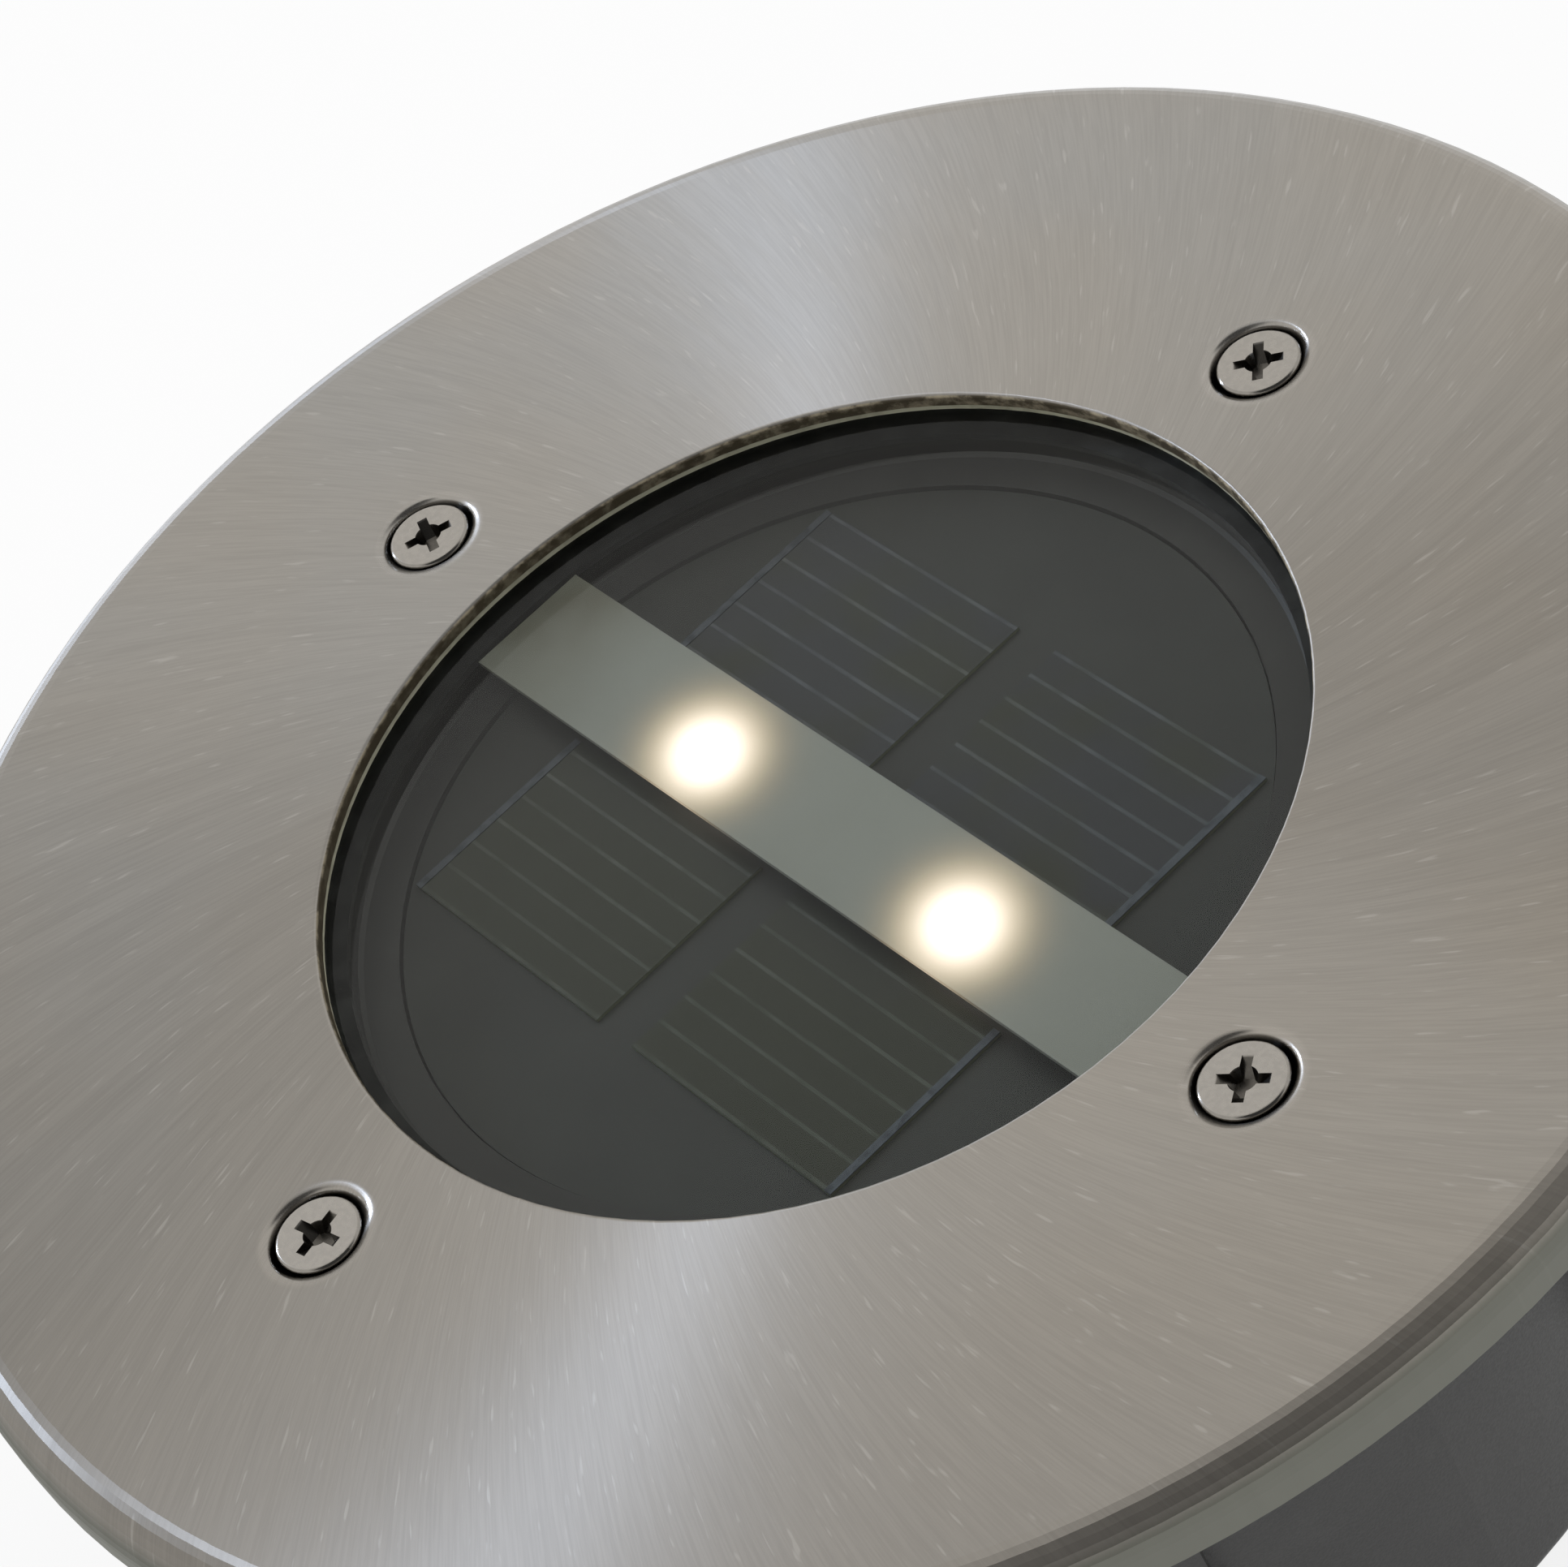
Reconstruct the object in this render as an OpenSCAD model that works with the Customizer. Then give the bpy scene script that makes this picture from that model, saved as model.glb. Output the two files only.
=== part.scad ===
// Recessed solar ground light: a steel face plate and a round window over a moulded plastic cup.
// X runs along the light strip, Z is up, and the origin is the centre of the base.

/* [Overall] */
// Height from the base to the top of the face plate
total_h = 55; // [53:1:62]

/* [Face plate] */
// Outer diameter of the steel plate
plate_d = 130; // [126:1:140]
// Thickness of the sheet
plate_t = 1; // [0.8:0.1:1.2]
// Outer radius of the edge where the sheet turns down
plate_edge_r = 2.8; // [2.4:0.1:3.2]
// Height of the plate with its turned-down skirt
skirt_h = 4.6; // [4.2:0.1:4.8]
// Diameter of the window opening
window_d = 67.8; // [67:0.1:68.4]
// Radius of the softened rim of the opening
window_rim_r = 0.3; // [0.2:0.05:0.5]

/* [Face screws] */
// Pitch circle diameter of the four screws
screw_pcd = 84.7; // [84.4:0.1:85]
// Diameter of the thread
screw_d = 3; // [2.8:0.1:3.2]
// Diameter of the countersunk head
screw_head_d = 5.9; // [5.6:0.1:6.2]
// Rounding of the head's upper edge
screw_head_round = 0.3; // [0.2:0.05:0.4]
// Rounding of the plate's edge round each head
screw_rim_r = 0.6; // [0.4:0.1:0.8]
// Length, head included
screw_l = 14; // [12.5:0.5:15]
// Diameter of the threaded insert
insert_d = 4.6; // [4.4:0.1:4.8]
// Length of the threaded insert
insert_l = 6; // [5:0.5:7]

/* [Window] */
// How far the glass reaches past the opening
glass_lap = 3.1; // [2.6:0.1:3.2]
// Thickness of the glass
glass_t = 3; // [2.8:0.1:4]
// Thickness of the pale gasket over the glass
gasket_t = 0.4; // [0.3:0.1:0.8]
// Thickness of the black seal under the glass
seal_t = 0.5; // [0.4:0.1:0.8]
// Width of the black ledge that shows inside the opening
window_lip = 0.9; // [0.6:0.1:1.2]
// Depth from the back of the glass to the floor beside the solar board
well_depth = 2; // [1.7:0.1:3]
// Length of the frosted strip
strip_l = 64.8; // [60:0.2:65]
// Width of the frosted strip
strip_w = 9.2; // [8:0.2:9.8]
// Thickness of the frosted strip
strip_t = 0.4; // [0.3:0.1:0.5]

/* [Solar panel and lamps] */
// Diameter of the round solar board
board_d = 60; // [59.4:0.2:60.6]
// Thickness of the solar board
board_t = 1.6; // [1.2:0.1:2]
// Length of a cell along the strip
cell_l = 20.5; // [19:0.1:20.6]
// Width of a cell across the strip
cell_w = 14.8; // [13:0.1:15]
// Thickness of a cell
cell_t = 0.25; // [0.2:0.05:0.3]
// Gap between the two cells of a row
cell_gap = 3.8; // [2:0.1:4]
// Gap between the two rows, under the strip
cell_row_gap = 9; // [8.4:0.1:9]
// Width of the tinned line across a cell's outer end
busbar_w = 0.6; // [0.4:0.1:1]
// Thickness of the tinned line
busbar_t = 0.05; // [0.04:0.01:0.08]
// Distance between the two lamps
led_pitch = 26.8; // [24:0.2:28]
// Diameter of a lamp
led_d = 5; // [4.6:0.1:5.2]
// Height of a lamp
led_h = 8.6; // [8.4:0.1:9]
// Diameter of the control board
control_d = 61.2; // [60.8:0.2:61.6]
// Thickness of the control board
control_t = 1.6; // [1.2:0.1:1.6]

/* [Frame] */
// Thickness under the seat of the glass
seat_t = 2; // [1.6:0.1:2.4]
// Wall beside the recesses
frame_wall = 1.6; // [1.4:0.1:1.8]
// Width of the outer rim
frame_rim_w = 3; // [2.8:0.1:3.2]
// Thickness of the frame's ring over its pocket
frame_roof_t = 2.2; // [1.8:0.1:2.6]
// Width of the shelf that carries the solar board
shelf_w = 4.15; // [3.8:0.05:4.4]
// Thickness of that shelf
shelf_t = 1.8; // [1.5:0.1:2.2]
// Diameter of the posts that carry the control board
post_d = 4.6; // [4.2:0.1:4.8]
// Number of ribs in the pocket
pocket_ribs = 16; // [8:4:24]
// Radial width of the O-ring
frame_seal_w = 1.2; // [1:0.1:1.3]
// Height of the O-ring when it is squeezed
frame_seal_t = 1; // [0.8:0.1:1.2]

/* [Cup] */
// Diameter of the collar that locates the light in its hole
collar_d = 99; // [98.6:0.2:100]
// Height of the collar below the frame
collar_h = 2.6; // [2:0.2:5]
// Wall of the collar beside the frame
collar_wall = 2.2; // [2:0.1:2.4]
// Outer diameter of the cup under the collar
cup_top_d = 93.2; // [92.8:0.1:93.6]
// Outer diameter of the cup at its base
cup_bottom_d = 90.8; // [90:0.2:91.6]
// Wall of the cup
wall = 2.4; // [2.2:0.1:2.6]
// Height of the flange with its rim
flange_h = 3.8; // [3.4:0.1:4]
// Thickness of the flange
flange_t = 2.2; // [1.8:0.1:2.4]
// Width of the flange's rim
flange_rim_w = 2; // [1.6:0.1:3]
// Number of ribs under the flange
flange_ribs = 24; // [12:4:32]
// Thickness of the ribs
rib_t = 1.4; // [1.2:0.1:1.8]
// Number of guide fins on the cup
fins = 8; // [4:4:12]
// Thickness of the guide fins
fin_t = 2; // [1.6:0.1:2.4]
// Thickness of the floor
floor_t = 2.4; // [2:0.1:3]
// Height of the foot ring
foot_h = 0.8; // [0.6:0.1:1.2]
// Rounding of the foot ring's outer corner
foot_edge_r = 1.2; // [0.8:0.1:1.6]
// Diameter of the screw columns
column_d = 8.4; // [8:0.1:8.8]

/* [Battery] */
// Diameter of the AA cell
battery_d = 14.5; // [14:0.1:14.5]
// Clear length of the tub
tub_l = 55; // [53.8:0.1:55.4]
// Length that the squeezed spring takes at the cell's end
spring_room = 3.7; // [3.2:0.1:4.4]
// Wall of the tub and the switch well
tub_wall = 1.6; // [1.4:0.1:2]
// How far the battery cover reaches past each end of the tub
cover_margin = 7.5; // [7.2:0.1:8]
// Width of the battery cover
cover_w = 26; // [24:0.5:27]
// Corner radius of the battery cover
cover_corner_r = 4; // [2:0.5:6]
// Thickness of the battery cover
cover_t = 2.2; // [2:0.1:2.6]
// Thickness of the cover's seal
cover_seal_t = 0.6; // [0.5:0.1:0.8]
// Distance of each cover screw from the tub's end
cover_screw_out = 3.9; // [3.7:0.1:4.1]
// Thickness of the contact plates
contact_t = 0.4; // [0.3:0.1:0.5]

/* [Switch] */
// Distance of the switch from the axis
switch_offset = 28; // [27.4:0.2:28.4]
// Diameter of the well round the button
switch_well_d = 18; // [17:0.5:18.4]
// Depth of the well
switch_well_h = 10.2; // [9.8:0.1:11]
// Thickness of the wall that holds the switch
switch_wall_t = 2; // [1.6:0.1:2.6]
// Diameter of the threaded bushing
bushing_d = 11.8; // [11:0.1:12]
// Diameter of the switch's flange
switch_flange_d = 14.6; // [14:0.1:15]
// Thickness of the flange
switch_flange_t = 1.8; // [1.5:0.1:2]
// Diameter of the button
button_d = 8.4; // [7.6:0.1:8.6]
// How far the button stands out of the flange
button_out = 2.8; // [2.4:0.1:3]
// Travel of the button
button_travel = 1.5; // [1:0.1:1.8]

/* [Leads] */
// Diameter of the inner leads
lead_d = 1.4; // [1:0.1:1.6]

/* [Hidden] */
$fn = 96;

// Clearance of pieces that drop into each other
fit = 0.3;
// Clearance of pieces that guide each other
slip = 0.15;
// Clearance of a pressed piece
press = 0.05;
// Overrun of every cut
over = 1;
// How far ribs and posts root into the piece that carries them
root = 0.5;
// Segments of a quarter arc in an outline
arc_steps = 8;
screw_count = 4;

// Heights, from the top down
plate_r = plate_d / 2;
plate_top = total_h;
plate_under = plate_top - plate_t;
skirt_z = plate_top - skirt_h;
window_r = window_d / 2;
glass_top = plate_under - gasket_t;
glass_back = glass_top - glass_t;
glass_r = window_r + glass_lap;
glass_chamfer = 0.4;
recess_r = glass_r + fit;
seat_z = glass_back - seal_t;
// Film of adhesive between the glass and the strip
bond_t = 0.05;
well_r = window_r - window_lip;
well_z = glass_back - well_depth;
well_fillet = 0.3;
frame_under = seat_z - seat_t;

// Solar board, lamps and control board
board_r = board_d / 2;
board_sink = 0.3;
board_top = well_z - board_sink;
board_under = board_top - board_t;
led_r = led_d / 2;
led_rim_r = 2.9;
led_rim_h = 1;
led_over = 0.6;
led_z = board_top + led_over - led_h;
led_pin_d = 0.5;
led_pin_pitch = 2.54;
led_pin_l = 3;
control_top = led_z;
control_under = control_top - control_t;
control_r = control_d / 2;

// Frame
collar_r = collar_d / 2;
frame_r = collar_r - collar_wall - fit;
frame_shoulder_r = well_r + frame_wall;
pocket_in_r = recess_r + frame_wall;
pocket_out_r = frame_r - frame_rim_w;
shelf_under = board_under - shelf_t;
seal_edge = 0.5;
post_ring_r = board_r + slip - shelf_w + post_d / 2;
board_screw_d = 1.9;
board_screw_head_d = 3.8;
board_screw_head_h = 1.3;
board_screw_l = 4.5;
board_screw_gap = 0.4;

// Face screws
screw_ring_r = screw_pcd / 2;
screw_hole_r = screw_d / 2 + fit;
screw_sink_r = screw_head_d / 2 + slip;
screw_cross = 3.5;
screw_cross_w = 0.75;
screw_cross_depth = 1;
screw_angles = [35, 44.7, 158.6, 12];

// Cup
cup_top_r = cup_top_d / 2;
cup_bottom_r = cup_bottom_d / 2;
flange_r = plate_r - plate_t - fit;
flange_top = plate_under;
flange_under = flange_top - flange_h;
flange_skin_under = flange_top - flange_t;
collar_low = frame_under - collar_h;
collar_step = 0.8;
shoulder = collar_r - cup_top_r;
floor_top = foot_h + floor_t;
foot_in_r = cup_bottom_r - wall;
fin_inset = 0.5;
fin_low = 4;
fin_start = 22.5;
insert_r = insert_d / 2;
insert_band = 1.5;
insert_groove = 0.3;
insert_gap = 2;

// Battery
battery_r = battery_d / 2;
battery_l = tub_l - 2 * contact_t - spring_room;
cover_l = tub_l + 2 * cover_margin;
cover_screw_x = tub_l / 2 + cover_screw_out;
battery_gap = 0.6;
battery_side_gap = 0.5;
cover_top = foot_h + cover_t;
cover_seat_z = cover_top + cover_seal_t;
battery_z = cover_seat_z + battery_gap + battery_r;
tub_r = battery_r + battery_side_gap;
pad_margin = 2;
pad_t = 2.4;
pad_top = cover_seat_z + pad_t;
battery_end_x = tub_l / 2 - contact_t;
battery_start_x = battery_end_x - battery_l;
terminal_d = 5.4;
terminal_h = 1.2;
battery_round = 0.6;
contact_w = 9;
contact_h = 11;
tab_w = 3;
tab_drop = 1.2;
tab_out = 2.8;
tab_z = battery_z + contact_h / 2 - tab_drop;
spring_wire_r = 0.35;
spring_big_r = 5;
spring_small_r = 2.6;
spring_turns = 3;
cradle_share = 0.28;
cradle_x = battery_l * cradle_share;
cradle_t = 1.6;
cradle_h = 2;
lip_t = 1.2;
lip_over = 0.3;
cover_seal_w = 1.5;
cover_screw_d = 2.4;
cover_screw_head_d = 4.4;
cover_screw_head_h = 1.3;
cover_screw_sink = 0.1;
cover_screw_l = 8;
cover_screw_gap = 0.6;
cover_screw_seat = foot_h + cover_screw_sink + cover_screw_head_h;
cover_screw_top = cover_screw_seat + cover_screw_l;
cover_boss_d = 5.6;
cover_boss_over = 1.8;
small_cross_share = 0.52;
small_cross_w = 0.6;

// Switch
switch_y = -switch_offset;
well_ceiling = foot_h + switch_well_h;
switch_well_r = switch_well_d / 2;
switch_seal_t = 0.8;
switch_flange_top = well_ceiling - switch_seal_t;
switch_face = switch_flange_top - switch_flange_t;
bushing_r = bushing_d / 2;
switch_flange_r = switch_flange_d / 2;
bushing_l = 8.3;
switch_tail_r = 5.5;
terminal_w = 2.4;
terminal_t = 0.5;
terminal_l = 3.5;
terminal_x = 2.5;
switch_lead_room = 7.2;
switch_tail_l = control_under - switch_lead_room - terminal_l - bushing_l - switch_flange_top;
button_r = button_d / 2;
button_low = switch_face - button_out;
button_l = 6;
button_top = button_low + button_l;
button_round = 0.6;
button_pin_r = 1.5;
button_pin_h = 1;
bore_margin = 2;
bore_top = button_top + button_pin_h + button_travel + bore_margin;
button_wire_r = 0.25;
button_spring_r = 2.2;
button_spring_turns = 5;
nut_r = 8;
nut_t = 2.5;

// Circuit parts on the control board
inductor_at = [0, 12];
inductor_r = 3.9;
inductor_h = 5;
inductor_lip = 0.8;
inductor_waist = 0.5;
chip_at = [-11, -11];
chip_l = 4.9;
chip_w = 3.9;
chip_h = 1.5;
chip_lift = 0.15;
chip_leg_w = 0.42;
chip_leg_t = 0.2;
chip_leg_pitch = 1.27;
chip_leg_step = 0.35;
chip_leg_z = 0.9;
capacitor_at = [12, -11];
capacitor_r = 3.15;
capacitor_h = 7;
capacitor_groove = 0.3;
capacitor_groove_z = 1.2;

// Leads
lead_sides = 8;
lead_steps = 14;
wire_sides = 6;
wire_steps = 12;
panel_lead_x = 4;
panel_lead_y = 16;
panel_lead_shift = 3;
switch_lead_x = 6;
switch_lead_y = -17;
lead_edge = 1.6;
battery_lead_x = control_r - lead_edge;

function lerp(a, b, t) = a + (b - a) * t;
function unit(v) = v / norm(v);

// Points of an arc about a centre, for outlines
function arc(c, r, from, to) = [
    for (i = [0 : arc_steps])
        let (a = lerp(from, to, i / arc_steps))
        [c[0] + r * cos(a), c[1] + r * sin(a)]
];

// Route of a lead that leaves both its ends upright
function lead_route(a, b) = [
    for (i = [0 : lead_steps])
        let (t = i / lead_steps, e = t * t * (3 - 2 * t))
        [lerp(a[0], b[0], e), lerp(a[1], b[1], e), lerp(a[2], b[2], t)]
];

// Route of a coil whose radius changes steadily
function coil_route(turns, r0, r1, z0, z1) = [
    for (i = [0 : turns * wire_steps])
        let (t = i / (turns * wire_steps), a = 360 * turns * t, r = lerp(r0, r1, t))
        [r * cos(a), r * sin(a), lerp(z0, z1, t)]
];

function heading(p, i) = unit(p[min(i + 1, len(p) - 1)] - p[max(i - 1, 0)]);

// Round tube swept along a route, with its rings turned about one side direction; upright ends are level
module tube(route, r, sides, side, upright = false) {
    n = len(route);
    points = [
        for (i = [0 : n - 1])
            let (level = upright && (i == 0 || i == n - 1), h = level ? [0, 0, 1] : heading(route, i))
            let (x = unit(cross(side, h)), y = cross(h, x))
            for (k = [0 : sides - 1])
                route[i] + r * cos(360 * k / sides) * x + r * sin(360 * k / sides) * y
    ];
    skin = [
        for (i = [0 : n - 2]) for (k = [0 : sides - 1])
            let (a = i * sides + k, b = i * sides + (k + 1) % sides)
            each [[a, a + sides, b], [b, a + sides, b + sides]]
    ];
    last = (n - 1) * sides;
    caps = [for (k = [1 : sides - 2]) each [[0, k, k + 1], [last, last + k + 1, last + k]]];
    polyhedron(points, concat(skin, caps));
}

module around(count, radius, start = 0) {
    for (i = [0 : count - 1])
        rotate([0, 0, start + 360 * i / count])
            translate([radius, 0, 0])
                children();
}

module ring(r_in, r_out, low, high) {
    translate([0, 0, low])
        difference() {
            cylinder(h = high - low, r = r_out);
            translate([0, 0, -over])
                cylinder(h = high - low + 2 * over, r = r_in);
        }
}

module rounded_rect(l, w, r) {
    square([l - 2 * r, w], center = true);
    square([l, w - 2 * r], center = true);
    for (x = [r - l / 2, l / 2 - r], y = [r - w / 2, w / 2 - r])
        translate([x, y])
            circle(r);
}

module along_x(l) {
    rotate([90, 0, 90])
        translate([0, 0, -l / 2])
            linear_extrude(l)
                children();
}

// Cross recess cut down from z = 0
module cross_recess(size, arm_w, depth) {
    half = size / 2;
    foot_share = 0.4;
    middle_share = 0.56;
    for (a = [0, 90])
        rotate([90, 0, a])
            linear_extrude(arm_w, center = true)
                polygon([
                    [-half, over], [half, over], [half, 0],
                    [half * foot_share, -depth], [-half * foot_share, -depth], [-half, 0]
                ]);
    translate([0, 0, -depth])
        cylinder(h = depth, r1 = half * foot_share, r2 = half * middle_share);
}

// Low round screw with its shank down and the underside of its head at z = 0
module round_screw(d, head_d, head_h, head_round, l, cross, cross_w, cross_depth) {
    head_r = head_d / 2;
    difference() {
        rotate_extrude()
            polygon(concat(
                [[0, -l], [d / 2 - head_round / 2, -l], [d / 2, head_round / 2 - l], [d / 2, 0], [head_r, 0]],
                arc([head_r - head_round, head_h - head_round], head_round, 0, 90),
                [[0, head_h]]
            ));
        translate([0, 0, head_h])
            cross_recess(cross, cross_w, cross_depth);
    }
}

// Countersunk screw with the top of its head at z = 0
module sunk_screw(d, head_d, head_round, l, cross, cross_w, cross_depth) {
    head_r = head_d / 2;
    tip = d / 8;
    difference() {
        rotate_extrude()
            polygon(concat(
                [[0, -l], [d / 2 - tip, -l], [d / 2, tip - l], [d / 2, d / 2 - head_r - head_round]],
                arc([head_r - head_round, -head_round], head_round, 0, 90),
                [[0, 0]]
            ));
        cross_recess(cross, cross_w, cross_depth);
    }
}

// Seat of a face screw: the plate's rounded edge, the cone under the head and the clearance hole
module screw_sink(low) {
    rim_x = screw_sink_r + screw_head_round + screw_rim_r * (sin(45) + cos(45) - 1);
    translate([0, 0, plate_top])
        rotate_extrude()
            polygon(concat(
                [[0, low - plate_top], [screw_hole_r, low - plate_top]],
                [[screw_hole_r, screw_hole_r - screw_sink_r - screw_head_round]],
                arc([rim_x, -screw_rim_r], screw_rim_r, 135, 90),
                [[rim_x, over], [0, over]]
            ));
}

module face_plate() {
    bend = [plate_r - plate_edge_r, plate_top - plate_edge_r];
    color([0.66, 0.64, 0.61])
        difference() {
            rotate_extrude()
                polygon(concat(
                    [[window_r, plate_under]],
                    arc([window_r + window_rim_r, plate_top - window_rim_r], window_rim_r, 180, 90),
                    arc(bend, plate_edge_r, 90, 0),
                    [[plate_r, skirt_z], [plate_r - plate_t, skirt_z]],
                    arc(bend, plate_edge_r - plate_t, 0, 90)
                ));
            around(screw_count, screw_ring_r)
                screw_sink(plate_under - over);
        }
}

module face_screws() {
    color([0.8, 0.8, 0.78])
        for (i = [0 : screw_count - 1])
            rotate([0, 0, 360 * i / screw_count])
                translate([screw_ring_r, 0, plate_top])
                    rotate([0, 0, screw_angles[i] - 360 * i / screw_count])
                        sunk_screw(
                            screw_d, screw_head_d, screw_head_round, screw_l,
                            screw_cross, screw_cross_w, screw_cross_depth
                        );
}

module window_gasket() {
    color([0.72, 0.76, 0.68])
        difference() {
            ring(window_r + press, frame_r - slip, glass_top, plate_under);
            around(screw_count, screw_ring_r)
                screw_sink(glass_top - over);
        }
}

module window_glass() {
    c = glass_chamfer;
    color([0.75, 0.85, 0.82, 0.35])
        rotate_extrude()
            polygon([
                [0, glass_back], [glass_r - c, glass_back], [glass_r, glass_back + c],
                [glass_r, glass_top - c], [glass_r - c, glass_top], [0, glass_top]
            ]);
}

module light_strip() {
    color([0.62, 0.66, 0.58, 0.8])
        translate([-strip_l / 2, -strip_w / 2, glass_back - bond_t - strip_t])
            cube([strip_l, strip_w, strip_t]);
}

module glass_seal() {
    color([0.06, 0.06, 0.06])
        ring(well_r, glass_r - slip, seat_z, glass_back);
}

module frame_outline() {
    pocket_top = glass_top - frame_roof_t;
    seal_out_r = frame_r - seal_edge;
    seal_in_r = seal_out_r - frame_seal_w - 2 * press;
    polygon([
        [frame_r, glass_top], [recess_r, glass_top], [recess_r, seat_z], [well_r, seat_z],
        [well_r, well_z + well_fillet], [well_r - well_fillet, well_z],
        [board_r + slip, well_z], [board_r + slip, board_under],
        [board_r + slip - shelf_w, board_under], [board_r + slip - shelf_w, shelf_under],
        [frame_shoulder_r, shelf_under], [frame_shoulder_r, frame_under],
        [pocket_in_r, frame_under], [pocket_in_r, pocket_top],
        [pocket_out_r, pocket_top], [pocket_out_r, frame_under],
        [seal_in_r, frame_under], [seal_in_r, frame_under + frame_seal_t],
        [seal_out_r, frame_under + frame_seal_t], [seal_out_r, frame_under],
        [frame_r, frame_under]
    ]);
}

module panel_frame() {
    pocket_w = pocket_out_r - pocket_in_r;
    color([0.08, 0.08, 0.08])
        difference() {
            union() {
                rotate_extrude()
                    frame_outline();
                around(screw_count, screw_ring_r)
                    translate([0, 0, frame_under])
                        cylinder(h = glass_top - frame_under, r = pocket_w / 2);
                around(pocket_ribs, pocket_in_r - root, 180 / pocket_ribs)
                    translate([0, -rib_t / 2, frame_under])
                        cube([pocket_w + 2 * root, rib_t, glass_top - frame_under - root]);
                around(screw_count, post_ring_r, 45)
                    translate([0, 0, control_top])
                        cylinder(h = shelf_under - control_top + root, r = post_d / 2);
            }
            around(screw_count, screw_ring_r)
                screw_sink(frame_under - over);
            around(screw_count, post_ring_r, 45)
                translate([0, 0, control_top - over])
                    cylinder(
                        h = board_screw_l - control_t + board_screw_gap + over,
                        r = board_screw_d / 2 + slip
                    );
        }
}

module frame_seal() {
    seal_out_r = frame_r - seal_edge - press;
    seal_in_r = seal_out_r - frame_seal_w;
    bulge = frame_seal_w / 4;
    color([0.1, 0.1, 0.1])
        rotate_extrude()
            polygon([
                [seal_in_r + bulge, frame_under], [seal_out_r - bulge, frame_under],
                [seal_out_r, frame_under + bulge], [seal_out_r, frame_under + frame_seal_t - bulge],
                [seal_out_r - bulge, frame_under + frame_seal_t],
                [seal_in_r + bulge, frame_under + frame_seal_t],
                [seal_in_r, frame_under + frame_seal_t - bulge], [seal_in_r, frame_under + bulge]
            ]);
}

module at_leds() {
    for (x = [-led_pitch / 2, led_pitch / 2])
        translate([x, 0, 0])
            children();
}

module at_panel_leads(shift = 0) {
    for (side = [-1, 1])
        translate([side * (panel_lead_x + shift), panel_lead_y, 0])
            children();
}

module solar_board() {
    color([0.12, 0.13, 0.13])
        translate([0, 0, board_under])
            difference() {
                cylinder(h = board_t, r = board_r);
                at_leds()
                    translate([0, 0, -over])
                        cylinder(h = board_t + 2 * over, r = led_r + fit);
            }
}

// One cell: side is -1 or 1 along X, row is -1 or 1 along Y
module solar_cell(side, row) {
    color([0.1, 0.1, 0.13])
        translate([side * (cell_gap + cell_l) / 2, row * (cell_row_gap + cell_w) / 2, board_top + cell_t / 2])
            cube([cell_l, cell_w, cell_t], center = true);
}

module cell_busbars() {
    color([0.6, 0.63, 0.7])
        for (side = [-1, 1], row = [-1, 1])
            translate([
                side * (cell_gap / 2 + cell_l - busbar_w / 2),
                row * (cell_row_gap + cell_w) / 2,
                board_top + cell_t + busbar_t / 2
            ])
                cube([busbar_w, cell_w, busbar_t], center = true);
}

module led(side) {
    dome_z = led_h - led_r;
    color([1, 0.95, 0.8])
        translate([side * led_pitch / 2, 0, led_z]) {
            rotate_extrude()
                polygon(concat(
                    [[0, 0], [led_rim_r, 0], [led_rim_r, led_rim_h], [led_r, led_rim_h]],
                    arc([0, dome_z], led_r, 0, 90)
                ));
            for (x = [-led_pin_pitch / 2, led_pin_pitch / 2])
                translate([x, 0, -led_pin_l])
                    cylinder(h = led_pin_l + root, r = led_pin_d / 2);
        }
}

module control_board() {
    color([0.05, 0.3, 0.15])
        translate([0, 0, control_under])
            difference() {
                cylinder(h = control_t, r = control_r);
                around(screw_count, post_ring_r, 45)
                    translate([0, 0, -over])
                        cylinder(h = control_t + 2 * over, r = board_screw_d / 2 + fit);
                at_leds()
                    for (x = [-led_pin_pitch / 2, led_pin_pitch / 2])
                        translate([x, 0, -over])
                            cylinder(h = control_t + 2 * over, r = led_pin_d / 2 + slip);
            }
}

module board_screws() {
    color([0.75, 0.75, 0.75])
        around(screw_count, post_ring_r, 45)
            translate([0, 0, control_under])
                mirror([0, 0, 1])
                    round_screw(
                        board_screw_d, board_screw_head_d, board_screw_head_h, board_screw_gap, board_screw_l,
                        board_screw_head_d * small_cross_share, small_cross_w, board_screw_head_h / 2
                    );
}

// Places a part upside down on the underside of the control board
module under_board(at) {
    translate([at[0], at[1], control_under])
        mirror([0, 0, 1])
            children();
}

module power_inductor() {
    waist_r = inductor_r - inductor_waist;
    color([0.25, 0.25, 0.27])
        under_board(inductor_at)
            rotate_extrude()
                polygon([
                    [0, 0], [inductor_r, 0], [inductor_r, inductor_lip], [waist_r, inductor_lip],
                    [waist_r, inductor_h - inductor_lip], [inductor_r, inductor_h - inductor_lip],
                    [inductor_r, inductor_h], [0, inductor_h]
                ]);
}

module chip_leg() {
    y = chip_w / 2;
    s = chip_leg_step;
    t = chip_leg_t;
    rotate([90, 0, 90])
        linear_extrude(chip_leg_w, center = true)
            polygon([
                [y - t, chip_leg_z], [y + s, chip_leg_z], [y + 2 * s, t], [y + 3 * s, t],
                [y + 3 * s, 0], [y + 2 * s - t, 0], [y + s - t, chip_leg_z - t], [y - t, chip_leg_z - t]
            ]);
}

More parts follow.
